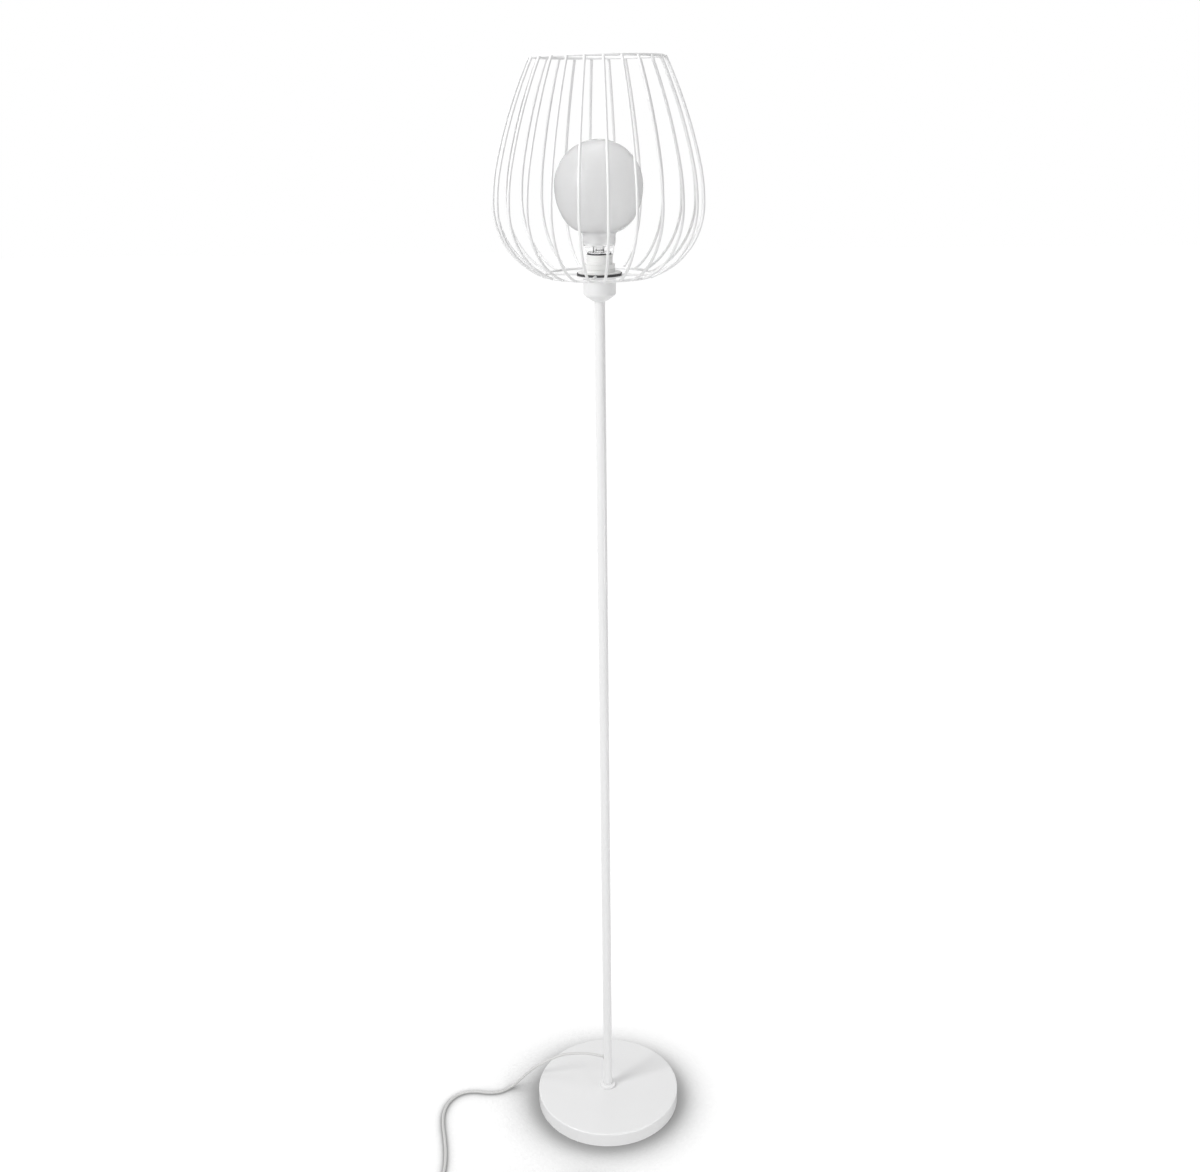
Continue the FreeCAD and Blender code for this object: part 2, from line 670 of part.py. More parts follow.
for step in range(groove_count, 0, -1):
    groove = f"barrel_top - 1 - {step} * barrel_pitch"
    barrel_outline.append(("barrel_dia / 2", groove))
    barrel_outline.append(("barrel_dia / 2 - barrel_groove", f"{groove} + barrel_pitch * 0.35"))
    barrel_outline.append(("barrel_dia / 2", f"{groove} + barrel_pitch * 0.7"))
barrel_outline.append(("barrel_dia / 2", "barrel_top"))
barrel_outline.append(("mouth_dia / 2", "barrel_top"))
barrel_outline.append(("mouth_dia / 2", core_low))
barrel_outline.append(("mouth_dia / 2 - core_ledge", core_low))
node(turned("holder_barrel", barrel_outline), "holder_barrel")
core_radius = "mouth_dia / 2 - slip"
node(ring("holder_core", f"2 * ({core_radius})", "core_bore", "core_thick", core_low), "holder_core")
shell_radius = "shell_dia / 2 + shell_wall"
node(
    turned(
        "screw_shell",
        [
            ("shell_dia / 2 - shell_lip", "core_top"),
            (shell_radius, "core_top"),
            (shell_radius, "core_top + shell_height"),
            ("shell_dia / 2", "core_top + shell_height"),
            ("shell_dia / 2", "core_top + shell_wall"),
            ("shell_dia / 2 - shell_lip", "core_top + shell_wall"),
        ],
    ),
    "screw_shell",
)
node(
    turned(
        "centre_contact",
        [
            ("0", f"{core_low} + contact_rim"),
            ("contact_shank / 2", f"{core_low} + contact_rim"),
            ("contact_shank / 2", "core_top"),
            ("button_dia / 2 + contact_rim", "core_top"),
            ("button_dia / 2 + contact_rim", "core_top + shell_wall"),
            ("contact_tip / 2", "contact_height"),
            ("0", "contact_height"),
        ],
    ),
    "centre_contact",
)
blocks = []
screws = []
cores = []
block_low = f"{core_low} - block_height"
screw_low = f"{core_low} - block_height / 2"
cores_low = value("pole_top + cup_wall + nut_height + stud_tail")
for side, sign in (("left", "-1"), ("right", "1")):
    block_x = f"{sign} * block_place"
    block = doc.addObject("Part::Box", f"block_{side}")
    bind(block, Length="block_size", Width="block_size", Height="block_height")
    place(block, f"{block_x} - block_size / 2", "0 - block_size / 2", block_low)
    forward = ((1, 0, 0), "-90")
    front = "0 - block_size"
    drill = cylinder(f"block_drill_{side}", "screw_dia", "block_size", screw_low, block_x, front, forward)
    blocks.append(boolean("Cut", f"terminal_{side}", block, drill))
    screws.append(
        cylinder(f"terminal_screw_{side}", "screw_dia", "block_size", screw_low, block_x, front, forward)
    )
    inside = value(f"{sign} * core_space / 2")
    outside = value(block_x)
    above_rod = value(f"{dome_low} + plastic_wall + boss_height + nipple_tail + wire_core_dia / 2")
    under_block = value(f"{block_low} - wire_core_dia")
    core_path = rounded_path(
        f"core_{side}",
        (
            (inside, 0, cores_low),
            (inside, 0, above_rod),
            (outside, 0, under_block),
            (outside, 0, value(block_low)),
        ),
    )
    cores.append(solid_tube(f"core_{side}", core_path, value("wire_core_dia")))
node(group("terminal_blocks", blocks), "terminal_blocks")
node(group("terminal_screws", screws), "terminal_screws")
free_piece("holder_wires", Part.makeCompound(cores))

# ---- centre plate, gasket and the two ribbed rings that clamp the cage to the holder ----

plate_low = "cup_top"
plate_bore = "barrel_dia + 2 * slip"
node(ring("cage_plate", "hub_dia", plate_bore, "hub_thick", plate_low), "cage_plate")
gasket_low = f"{plate_low} + hub_thick"
gasket_dia = "hub_dia - 2 * gasket_inset"
node(ring("plate_gasket", gasket_dia, plate_bore, "gasket_thick", gasket_low), "plate_gasket")
lower_ring_low = f"{gasket_low} + gasket_thick"
upper_ring_low = f"{lower_ring_low} + lower_ring_height + ring_gap"


def ribbed_ring(name, low, height, flange):
    """A clamping ring with grip grooves all round, and a flange at its foot if it has one."""
    corners = [("barrel_dia / 2 + fit", low)]
    band_low = low
    if flange:
        corners.append(("flange_dia / 2", low))
        band_low = f"{low} + flange_thick"
        corners.append(("flange_dia / 2", band_low))
        corners.append(("ring_dia / 2", band_low))
    else:
        corners.append(("ring_dia / 2", low))
    corners.append(("ring_dia / 2", f"{low} + {height}"))
    corners.append(("barrel_dia / 2 + fit", f"{low} + {height}"))
    body = turned(name, corners)
    blank = body.Tip
    mark = sketch_in(body, f"{name}_groove_section", "XY_Plane", band_low)
    mark_across = "ring_dia / 2 + rib_depth"
    mark.addGeometry(Part.Circle(FreeCAD.Vector(value(mark_across), 0, 0), FreeCAD.Vector(0, 0, 1), 1))
    pin_point(mark, 0, 3, mark_across, "0")
    dimension(mark, "Radius", 0, formula="2 * rib_depth")
    groove = body.newObject("PartDesign::Pocket", f"{name}_groove")
    groove.Profile = mark
    groove.Reversed = True
    bind(groove, Length=f"{height} + 1")
    doc.recompute()
    grooves = body.newObject("PartDesign::PolarPattern", f"{name}_grooves")
    grooves.Originals = [groove]
    grooves.Axis = (origin_part(body, "Z_Axis"), [""])
    grooves.Angle = 360
    bind(grooves, Occurrences="rib_count")
    body.Tip = grooves
    doc.recompute()
    print(f"{name}: blank {blank.Shape.Volume:.0f}, grooved {body.Shape.Volume:.0f}")
    return node(body, name)


ribbed_ring("clamp_ring_lower", lower_ring_low, "lower_ring_height", True)
ribbed_ring("clamp_ring_upper", upper_ring_low, "upper_ring_height", False)

# ---- cage: two rings, spokes to the centre plate and bars bent in three tangent arcs ----


def hoop(name, dia, wire, height):
    torus = doc.addObject("Part::Torus", name)
    bind(torus, Radius1=f"({dia}) / 2", Radius2=f"({wire}) / 2")
    place(torus, z=height)
    return node(torus, name)


hoop("cage_ring_top", "top_ring_dia", "cage_ring_wire", "top_ring_height")
hoop("cage_ring_bottom", "low_ring_dia", "cage_ring_wire", "low_ring_height")

spokes = doc.addObject("PartDesign::Body", "cage_spokes")
spoke_section = sketch_in(spokes, "spoke_section", "YZ_Plane", "hub_dia / 2 - weld")
spoke_centre = FreeCAD.Vector(0, value("low_ring_height"), 0)
spoke_section.addGeometry(Part.Circle(spoke_centre, FreeCAD.Vector(0, 0, 1), value("cage_wire / 2")))
pin_point(spoke_section, 0, 3, "0", "low_ring_height")
dimension(spoke_section, "Radius", 0, formula="cage_wire / 2")
spoke = spokes.newObject("PartDesign::Pad", "spoke")
spoke.Profile = spoke_section
bind(spoke, Length="low_ring_dia / 2 - cage_ring_wire / 2 + weld - (hub_dia / 2 - weld)")
doc.recompute()
spoke_set = spokes.newObject("PartDesign::PolarPattern", "spoke_set")
spoke_set.Originals = [spoke]
spoke_set.Axis = (origin_part(spokes, "Z_Axis"), [""])
spoke_set.Angle = 360
bind(spoke_set, Occurrences="spoke_count")
spokes.Tip = spoke_set
turn(spokes, "cage_turn - 360 / wire_count")
node(spokes, "cage_spokes")

bars = doc.addObject("PartDesign::Body", "cage_bars")
bar_path = sketch_in(bars, "bar_path", "XZ_Plane")
foot_reach = "(cage_ring_wire / 2 - weld / 2)"
head_reach = "((cage_wire + cage_ring_wire) / 2 - 3 * weld)"
bar_foot_across = f"low_ring_dia / 2 + {foot_reach} * sin(foot_lean)"
bar_foot_up = f"low_ring_height - {foot_reach} * cos(foot_lean)"
bar_head_across = f"top_ring_dia / 2 + {head_reach} * cos(head_lean)"
bar_head_up = f"top_ring_height + {head_reach} * sin(head_lean)"


def bar_arc(centre, radius, start, end):
    """An arc of the bar's centreline, from one (across, up) place to another, anticlockwise."""
    middle = FreeCAD.Vector(*centre, 0)
    circle = Part.Circle(middle, FreeCAD.Vector(0, 0, 1), radius)
    angles = [math.atan2(up - middle.y, across - middle.x) for across, up in (start, end)]
    return Part.ArcOfCircle(circle, *angles)


belly = (value("belly_dia / 2"), value("belly_height"))
foot = (value(bar_foot_across), value(bar_foot_up))
head = (value(bar_head_across), value(bar_head_up))
inset = belly[0] - foot[0]
drop = belly[1] - foot[1]
lower_radius = (inset**2 + drop**2) / (2 * inset)
shoulder_radius = value("shoulder_bend")
shoulder_sine = value("(shoulder_height - belly_height) / shoulder_bend")
shoulder_angle = math.asin(shoulder_sine)
shoulder = (belly[0] - shoulder_radius * (1 - math.cos(shoulder_angle)), value("shoulder_height"))
chord = (shoulder[0] - head[0], head[1] - shoulder[1])
chord_angle = math.atan2(*chord)
upper_radius = math.hypot(*chord) / (2 * math.sin(chord_angle - shoulder_angle))
upper_centre = (
    shoulder[0] - upper_radius * math.cos(shoulder_angle),
    shoulder[1] - upper_radius * math.sin(shoulder_angle),
)
bar_path.addGeometry(bar_arc((belly[0] - lower_radius, belly[1]), lower_radius, foot, belly))
bar_path.addGeometry(bar_arc((belly[0] - shoulder_radius, belly[1]), shoulder_radius, belly, shoulder))
bar_path.addGeometry(bar_arc(upper_centre, upper_radius, shoulder, head))
bar_path.addConstraint(Sketcher.Constraint("Tangent", 0, 2, 1, 1))
bar_path.addConstraint(Sketcher.Constraint("Tangent", 1, 2, 2, 1))
pin_point(bar_path, 0, 1, bar_foot_across, bar_foot_up)
pin_point(bar_path, 0, 2, "belly_dia / 2", "belly_height")
dimension(bar_path, "DistanceY", -1, 1, 0, 3, formula="belly_height")
dimension(bar_path, "Radius", 1, formula="shoulder_bend")
dimension(bar_path, "DistanceY", -1, 1, 1, 2, formula="shoulder_height")
pin_point(bar_path, 2, 2, bar_head_across, bar_head_up)
doc.recompute()
bar_section = bars.newObject("Sketcher::SketchObject", "bar_section")
bar_section.AttachmentSupport = [(bar_path, "Edge1"), (bar_path, "Vertex1")]
bar_section.MapMode = "NormalToEdge"
bar_section.addGeometry(Part.Circle(FreeCAD.Vector(), FreeCAD.Vector(0, 0, 1), value("cage_wire / 2")))
pin_point(bar_section, 0, 3, "0", "0")
dimension(bar_section, "Radius", 0, formula="cage_wire / 2")
doc.recompute()
bar = bars.newObject("PartDesign::AdditivePipe", "bar")
bar.Profile = bar_section
bar.Spine = (bar_path, ["Edge1", "Edge2", "Edge3"])
doc.recompute()
bar_set = bars.newObject("PartDesign::PolarPattern", "bar_set")
bar_set.Originals = [bar]
bar_set.Axis = (origin_part(bars, "Z_Axis"), [""])
bar_set.Angle = 360
bind(bar_set, Occurrences="wire_count")
bars.Tip = bar_set
turn(bars, "cage_turn")
node(bars, "cage_bars")

# ---- bulb: blown glass globe on a screw cap ----

globe = doc.addObject("PartDesign::Body", "bulb_glass")


def glass_outline(name, wall):
    """Half the outline of the glass, moved inwards by a wall thickness."""
    outline_sketch = sketch_in(globe, name, "XZ_Plane")
    globe_radius = value(f"globe_dia / 2 - {wall}")
    globe_up = value("globe_height")
    flank_radius = value(f"globe_flank - {wall}")
    flank_angle = math.asin(value("flank_drop / globe_flank"))
    flank_centre = (globe_radius - flank_radius, globe_up)
    flank_end = (
        flank_centre[0] + flank_radius * math.cos(flank_angle),
        globe_up - flank_radius * math.sin(flank_angle),
    )
    turn_in = value(f"globe_turn_in - {wall}")
    turn_in_centre = (
        flank_end[0] - turn_in * math.cos(flank_angle),
        flank_end[1] + turn_in * math.sin(flank_angle),
    )
    fillet = value(f"neck_fillet + {wall}")
    neck_radius = value(f"neck_dia / 2 - {wall}")
    fillet_across = neck_radius + fillet
    fillet_drop = math.sqrt((turn_in + fillet) ** 2 - (fillet_across - turn_in_centre[0]) ** 2)
    fillet_centre = (fillet_across, turn_in_centre[1] - fillet_drop)
    share = turn_in / (turn_in + fillet)
    kiss = [a + (b - a) * share for a, b in zip(turn_in_centre, fillet_centre)]
    kiss_angle = math.atan2(kiss[1] - fillet_centre[1], kiss[0] - fillet_centre[0])
    neck_foot = (neck_radius, value("neck_foot"))
    heel_inset = value("neck_dia / 2 - seat_dia / 2")
    heel_drop = value("neck_foot - seat_height")
    heel = (heel_inset**2 + heel_drop**2) / (2 * heel_inset) - value(wall)
    heel_centre = (neck_radius - heel, neck_foot[1])
    seat = (heel_centre[0] + math.sqrt(heel**2 - heel_drop**2), value("seat_height"))
    crown = (0, globe_up + globe_radius)
    fillet_circle = Part.Circle(FreeCAD.Vector(*fillet_centre, 0), FreeCAD.Vector(0, 0, 1), fillet)
    outline_sketch.addGeometry(bar_arc((0, globe_up), globe_radius, (globe_radius, globe_up), crown))
    outline_sketch.addGeometry(bar_arc(flank_centre, flank_radius, flank_end, (globe_radius, globe_up)))
    outline_sketch.addGeometry(bar_arc(turn_in_centre, turn_in, kiss, flank_end))
    outline_sketch.addGeometry(Part.ArcOfCircle(fillet_circle, kiss_angle, math.pi))
    lines = [(neck_radius, fillet_centre[1]), neck_foot]
    outline_sketch.addGeometry(Part.LineSegment(*[FreeCAD.Vector(*point, 0) for point in lines]))
    outline_sketch.addGeometry(bar_arc(heel_centre, heel, seat, neck_foot))
    for start, end in ((seat, (0, seat[1])), ((0, seat[1]), crown)):
        outline_sketch.addGeometry(Part.LineSegment(FreeCAD.Vector(*start, 0), FreeCAD.Vector(*end, 0)))
    for constraint in (
        ("Tangent", 0, 1, 1, 2),
        ("Tangent", 1, 1, 2, 2),
        ("Tangent", 2, 1, 3, 1),
        ("Tangent", 3, 2, 4, 1),
        ("Tangent", 4, 2, 5, 2),
        ("Coincident", 5, 1, 6, 1),
        ("Coincident", 6, 2, 7, 1),
        ("Coincident", 7, 2, 0, 2),
        ("PointOnObject", 0, 3, -2),
        ("PointOnObject", 7, 1, -2),
        ("PointOnObject", 7, 2, -2),
        ("Horizontal", 6),
        ("Vertical", 4),
    ):
        outline_sketch.addConstraint(Sketcher.Constraint(*constraint))
    pin_point(outline_sketch, 0, 1, f"globe_dia / 2 - {wall}", "globe_height")
    dimension(outline_sketch, "DistanceY", -1, 1, 0, 3, formula="globe_height")
    dimension(outline_sketch, "Radius", 1, formula=f"globe_flank - {wall}")
    flank_low = f"globe_height - flank_drop * (globe_flank - {wall}) / globe_flank"
    dimension(outline_sketch, "DistanceY", -1, 1, 1, 1, formula=flank_low)
    dimension(outline_sketch, "Radius", 2, formula=f"globe_turn_in - {wall}")
    dimension(outline_sketch, "Radius", 3, formula=f"neck_fillet + {wall}")
    pin_point(outline_sketch, 4, 2, f"neck_dia / 2 - {wall}", "neck_foot")
    heel_formula = "((neck_dia - seat_dia)^2 / 4 + (neck_foot - seat_height)^2) / (neck_dia - seat_dia)"
    dimension(outline_sketch, "Radius", 5, formula=f"{heel_formula} - {wall}")
    dimension(outline_sketch, "DistanceY", -1, 1, 5, 1, formula="seat_height")
    print(name, "solver", outline_sketch.solve())
    return outline_sketch


outer = glass_outline("glass_outside", "0")
blown = globe.newObject("PartDesign::Revolution", "blown_glass")
blown.Profile = outer
blown.ReferenceAxis = (origin_part(globe, "Z_Axis"), [""])
blown.Angle = 360
doc.recompute()
inner = glass_outline("glass_inside", "glass_wall")
hollow = globe.newObject("PartDesign::Groove", "hollow_glass")
hollow.Profile = inner
hollow.ReferenceAxis = (origin_part(globe, "Z_Axis"), [""])
hollow.Angle = 360
globe.Tip = hollow
doc.recompute()
node(globe, "bulb_glass")

cap_low = "contact_height + 3"
cap_radius = "cap_dia / 2"
ring_outside = "button_dia / 2 + insulator_width"
node(
    turned(
        "bulb_cap",
        [
            (ring_outside, cap_low),
            (f"{cap_radius} - cap_inset", cap_low),
            (cap_radius, f"{cap_low} + cap_slope"),
            (cap_radius, "seat_height"),
            (f"{cap_radius} - cap_wall", "seat_height"),
            (f"{cap_radius} - cap_wall", f"{cap_low} + cap_slope + cap_wall / 2"),
            (f"{cap_radius} - cap_inset - cap_wall / 2", f"{cap_low} + cap_wall"),
            (ring_outside, f"{cap_low} + cap_wall"),
        ],
    ),
    "bulb_cap",
)
node(
    turned(
        "bulb_insulator",
        [
            ("button_dia / 2", "contact_height + 1"),
            (ring_outside, cap_low),
            (ring_outside, f"{cap_low} + cap_wall"),
            ("button_dia / 2", f"{cap_low} + cap_wall"),
        ],
    ),
    "bulb_insulator",
)
node(
    turned(
        "bulb_contact",
        [
            ("0", "contact_height + fit"),
            ("button_dia / 2 - 1.5", "contact_height + fit"),
            ("button_dia / 2", "contact_height + 1"),
            ("button_dia / 2", "contact_height + 2"),
            ("0", "contact_height + 2"),
        ],
    ),
    "bulb_contact",
)
disc_top = "seat_height + mount_thick"
stem_top = "seat_height + stem_height"
node(
    turned(
        "bulb_stem",
        [
            ("0", "seat_height"),
            ("seat_dia / 2 - 2 * glass_wall", "seat_height"),
            ("seat_dia / 2 - 2 * glass_wall", disc_top),
            ("stem_dia / 2", disc_top),
            ("stem_dia / 4", f"{stem_top} - stem_neck"),
            ("stem_dia / 4", stem_top),
            ("0", stem_top),
        ],
    ),
    "bulb_stem",
)
post_rod = cylinder("post_rod", "post_dia", "post_reach", disc_top, "post_circle / 2")
head_low = f"{disc_top} + post_reach - post_head_thick"
post_cap = cylinder("post_cap", "post_head", "post_head_thick", head_low, "post_circle / 2")
post = boolean("MultiFuse", "mount_post", post_rod, post_cap)
posts = []
for index in range(3):
    turned_post = group(f"mount_post_{index}", [post])
    turn(turned_post, f"post_turn + {index} * 120")
    posts.append(turned_post)
node(group("bulb_posts", posts), "bulb_posts")
foot_up = value(stem_top)
top_up = value("filament_height")
half_span = value("filament_span / 2")
close = value("stem_dia / 8")
filament_points = [
    (-close, 0, foot_up),
    (-close, 0, foot_up + (top_up - foot_up) / 4),
    (-half_span, 0, foot_up + (top_up - foot_up) / 2),
    (-half_span, 0, top_up),
]
filament_points += [(-x, y, z) for x, y, z in reversed(filament_points)]
filament_path = rounded_path("bulb_filament", filament_points)
free_piece("bulb_filament", solid_tube("bulb_filament", filament_path, value("filament_wire")))

# ---- foot switch on the cord ----


def rounded_rectangle(section, length, width, corner):
    """A rounded rectangle about a sketch's origin."""
    half_length = value(f"({length}) / 2")
    half_width = value(f"({width}) / 2")
    radius = value(corner)
    normal = FreeCAD.Vector(0, 0, 1)
    quarter = math.pi / 2
    for index, (across, up) in enumerate(((1, -1), (1, 1), (-1, 1), (-1, -1))):
        centre = FreeCAD.Vector(across * (half_length - radius), up * (half_width - radius), 0)
        start = (index - 1) * quarter
        section.addGeometry(Part.ArcOfCircle(Part.Circle(centre, normal, radius), start, start + quarter))
    for index in range(4):
        start = section.Geometry[index].EndPoint
        end = section.Geometry[(index + 1) % 4].StartPoint
        section.addGeometry(Part.LineSegment(start, end))
    for index in range(4):
        section.addConstraint(Sketcher.Constraint("Tangent", index, 2, index + 4, 1))
        section.addConstraint(Sketcher.Constraint("Tangent", index + 4, 2, (index + 1) % 4, 1))
    for side, direction in ((4, "Vertical"), (5, "Horizontal"), (6, "Vertical"), (7, "Horizontal")):
        section.addConstraint(Sketcher.Constraint(direction, side))
    for index in range(1, 4):
        section.addConstraint(Sketcher.Constraint("Equal", 0, index))
    section.addConstraint(Sketcher.Constraint("Symmetric", 0, 3, 2, 3, -1, 1))
    dimension(section, "Radius", 0, formula=corner)
    dimension(section, "DistanceX", 3, 3, 0, 3, formula=f"{length} - 2 * ({corner})")
    dimension(section, "DistanceY", 0, 3, 1, 3, formula=f"{width} - 2 * ({corner})")


def block_body(name, height, low, hollow_height, hollow_low):
    """A rounded block of the switch's outline with a hollow in it, on the switch's place."""
    body = doc.addObject("PartDesign::Body", name)
    for kind, inset, start, length in (
        ("Pad", "0", low, height),
        ("Pocket", "switch_wall", hollow_low, hollow_height),
    ):
        section = sketch_in(body, f"{name}_{kind.lower()}_outline", "XY_Plane", start)
        rounded_rectangle(
            section,
            f"switch_length - 2 * {inset}",
            f"switch_width - 2 * {inset}",
            f"switch_corner - {inset}",
        )
        step = body.newObject(f"PartDesign::{kind}", f"{name}_{kind.lower()}")
        step.Profile = section
        bind(step, Length=length)
        if kind == "Pocket":
            step.Reversed = True
        doc.recompute()
    place(body, "switch_x", "switch_y")
    return body


switch_floor = "switch_wall"
lower_shell = block_body("switch_base", "switch_split", "0", "switch_split", switch_floor)
seat_section = sketch_in(lower_shell, "seat_section", "XY_Plane", switch_floor)
seat_radius = "spring_dia / 2 + seat_rim"
seat_section.addGeometry(Part.Circle(FreeCAD.Vector(), FreeCAD.Vector(0, 0, 1), value(seat_radius)))
pin_point(seat_section, 0, 3, "0", "0")
dimension(seat_section, "Radius", 0, formula=seat_radius)
spring_seat = lower_shell.newObject("PartDesign::Pad", "spring_seat")
spring_seat.Profile = seat_section
bind(spring_seat, Length="seat_rise")
lower_shell.Tip = spring_seat
doc.recompute()
node(lower_shell, "switch_base")

upper_shell = block_body(
    "switch_cover",
    "switch_height - switch_split",
    "switch_split",
    "switch_height - switch_split - switch_wall",
    "switch_split",
)
hole_section = sketch_in(upper_shell, "button_hole_section", "XY_Plane", "switch_height - switch_wall - 1")
hole_radius = "button_face / 2 + button_gap"
hole_section.addGeometry(Part.Circle(FreeCAD.Vector(), FreeCAD.Vector(0, 0, 1), value(hole_radius)))
pin_point(hole_section, 0, 3, "0", "0")
dimension(hole_section, "Radius", 0, formula=hole_radius)
button_hole = upper_shell.newObject("PartDesign::Pocket", "button_hole")
button_hole.Profile = hole_section
button_hole.Reversed = True
bind(button_hole, Length="switch_wall + 2")
doc.recompute()
top_edges = []
for index, edge in enumerate(button_hole.Shape.Edges, start=1):
    at_top = abs(edge.BoundBox.ZMin - value("switch_height")) < 0.01
    at_hole = isinstance(edge.Curve, Part.Circle) and abs(edge.Curve.Radius - value(hole_radius)) < 0.01
    if at_top and not at_hole:
        top_edges.append(f"Edge{index}")
softened = upper_shell.newObject("PartDesign::Fillet", "switch_cover_edge")
softened.Base = (button_hole, top_edges)
bind(softened, Radius="switch_edge")
doc.recompute()
node(upper_shell, "switch_cover")

flange_top = "switch_height - switch_wall - button_gap"
button_low = f"{flange_top} - button_flange_thick"
button_top = "switch_height + button_proud"
button = turned(
    "switch_button",
    [
        ("0", button_low),
        ("button_flange / 2", button_low),
        ("button_flange / 2", flange_top),
        ("button_face / 2", flange_top),
        ("button_face / 2", button_top),
        ("0", button_top),
    ],
    rounds=[("button_face / 2", button_top)],
    round_radius="button_round",
)
place(button, "switch_x", "switch_y")
node(button, "switch_button")

spring_low = value(f"{switch_floor} + seat_rise")
spring_high = value(button_low)
spring_wire = value("spring_wire")
spring_radius = value("spring_dia / 2") - spring_wire / 2
spring_centre = FreeCAD.Vector(value("switch_x"), value("switch_y"), 0)
half_turns = 2 * int(value("spring_turns"))
spring_rise = (spring_high - spring_low - spring_wire) / half_turns
spring_edges = []
for step in range(half_turns):
    side = 1 if step % 2 == 0 else -1
    up = FreeCAD.Vector(0, 0, spring_low + spring_wire / 2 + step * spring_rise)
    start = spring_centre + FreeCAD.Vector(side * spring_radius, 0, 0) + up
    end = spring_centre + FreeCAD.Vector(-side * spring_radius, 0, spring_rise) + up
    spring_edges += climbing_half_turn(start, FreeCAD.Vector(0, side, 0), end)
free_piece("switch_spring", solid_tube("switch_spring", Part.Wire(spring_edges), spring_wire))

contacts = []
for side, sign in (("left", "-1"), ("right", "1")):
    contact = doc.addObject("Part::Box", f"switch_terminal_{side}")
    bind(contact, Length="block_size", Width="block_size", Height="block_height")
    contact_x = f"switch_x + {sign} * terminal_place - block_size / 2"
    place(contact, contact_x, "switch_y + terminal_offset", switch_floor)
    contacts.append(contact)
node(group("switch_terminals", contacts), "switch_terminals")
blade = doc.addObject("Part::Box", "contact_blade")
blade_length = "2 * terminal_place + block_size"
bind(blade, Length=blade_length, Width="block_size - 2 * blade_inset", Height="blade_thick")
blade_x = "switch_x - terminal_place - block_size / 2"
place(blade, blade_x, "switch_y + terminal_offset + blade_inset", f"{switch_floor} + block_height")
node(blade, "contact_blade")

sleeves = []
for side, sign in (("in", -1), ("out", 1)):
    sleeve = doc.addObject("Part::Cone", f"sleeve_{side}")
    bind(sleeve, Radius1="sleeve_dia / 2", Radius2="sleeve_tip / 2", Height="sleeve_length")
    sleeve.Placement = FreeCAD.Placement(
        FreeCAD.Vector(), FreeCAD.Rotation(FreeCAD.Vector(0, 0, 1), FreeCAD.Vector(sign, 0, 0))
    )
    place(sleeve, f"switch_x + {sign} * switch_length / 2", "switch_y", "cord_entry")
    sleeves.append(sleeve)
node(group("switch_sleeves", sleeves), "switch_sleeves")

# ---- the cord from the pole to the foot switch ----

cord_dia = value("cord_dia")
mouth = tuple(outlet_mouth)
first_bend = tuple(outlet_mouth + outwards * 24)
sleeve_reach = "(switch_length / 2 + sleeve_length)"
switch_mouth = (value(f"switch_x - {sleeve_reach}"), value("switch_y"), value("cord_entry"))
before_switch = (switch_mouth[0] - 20, switch_mouth[1], switch_mouth[2])
lead_points = (mouth, first_bend) + LEAD_ROUTE + (before_switch, switch_mouth)
lead_path = rounded_path("cord_lead", lead_points)
free_piece("cord_lead", solid_tube("cord_lead", lead_path, cord_dia))

# ---- the spare cord: a neat coil in four layers, between the foot switch and the plug ----

coil_pitch = value("coil_pitch")
along_x = FreeCAD.Vector(1, 0, 0)
layers = (3, 2, 2, 2)
radius = value("coil_radius")
here = FreeCAD.Vector(value("coil_x"), value("coil_front"), cord_dia / 2)
coil_edges = [Part.LineSegment(here - along_x * cord_dia, here).toShape()]
coil_start = here - along_x * cord_dia
heading = along_x
grow = -coil_pitch / 2
for layer, half_turns in enumerate(layers):
    for _ in range(half_turns):
        across = FreeCAD.Vector(0, 2 * radius * heading.x, 0)
        coil_edges.append(arc_leaving(here, heading, here + across))
        here = here + across
        heading = heading * -1
        radius += grow
    if layer < len(layers) - 1:
        across = FreeCAD.Vector(0, 2 * radius * heading.x, coil_pitch)
        coil_edges += climbing_half_turn(here, heading, here + across)
        here = here + across
        heading = heading * -1
        grow = -grow
        radius += grow
coil_edges.append(Part.LineSegment(here, here + heading * cord_dia).toShape())
coil_end = here + heading * cord_dia
coil_path = Part.Wire(coil_edges)


def least_gap(path, dia, step=2.0):
    """The least clear distance between turns of a tube, measured on points along its centreline."""
    points = path.discretize(Distance=step)
    skip = int(3 * dia / step)
    gaps = (
        a.distanceToPoint(b)
        for index, a in enumerate(points)
        for b in points[index + skip :]
    )
    return min(gaps) - dia


print(f"cord_coil: least gap {least_gap(coil_path, cord_dia):.2f}, ends at {tuple(coil_end)}")
free_piece("cord_coil", solid_tube("cord_coil", coil_path, cord_dia))

sleeve_end = FreeCAD.Vector(value(f"switch_x + {sleeve_reach}"), switch_mouth[1], switch_mouth[2])
link_points = (
    tuple(sleeve_end),
    tuple(sleeve_end + along_x * 18),
    tuple(coil_start + FreeCAD.Vector(-35.4, 2, 2.1)),
    tuple(coil_start - along_x * 16.4),
    tuple(coil_start),
)
free_piece("cord_link", solid_tube("cord_link", rounded_path("cord_link", link_points), cord_dia))

plug_mouth = FreeCAD.Vector(value("plug_x - relief_length"), value("plug_y"), value("plug_thick / 2"))
tail_points = (
    tuple(coil_end),
    tuple(coil_end + along_x * 19.4),
    tuple(coil_end + FreeCAD.Vector(38.4, -5.2, -8.1)),
    tuple(coil_end + FreeCAD.Vector(61.4, -2.2, -15.3)),
    tuple(coil_end + FreeCAD.Vector(85.4, -5.2, -15.3)),
    tuple(plug_mouth - along_x * 20),
    tuple(plug_mouth),
)
free_piece("cord_tail", solid_tube("cord_tail", rounded_path("cord_tail", tail_points), cord_dia))

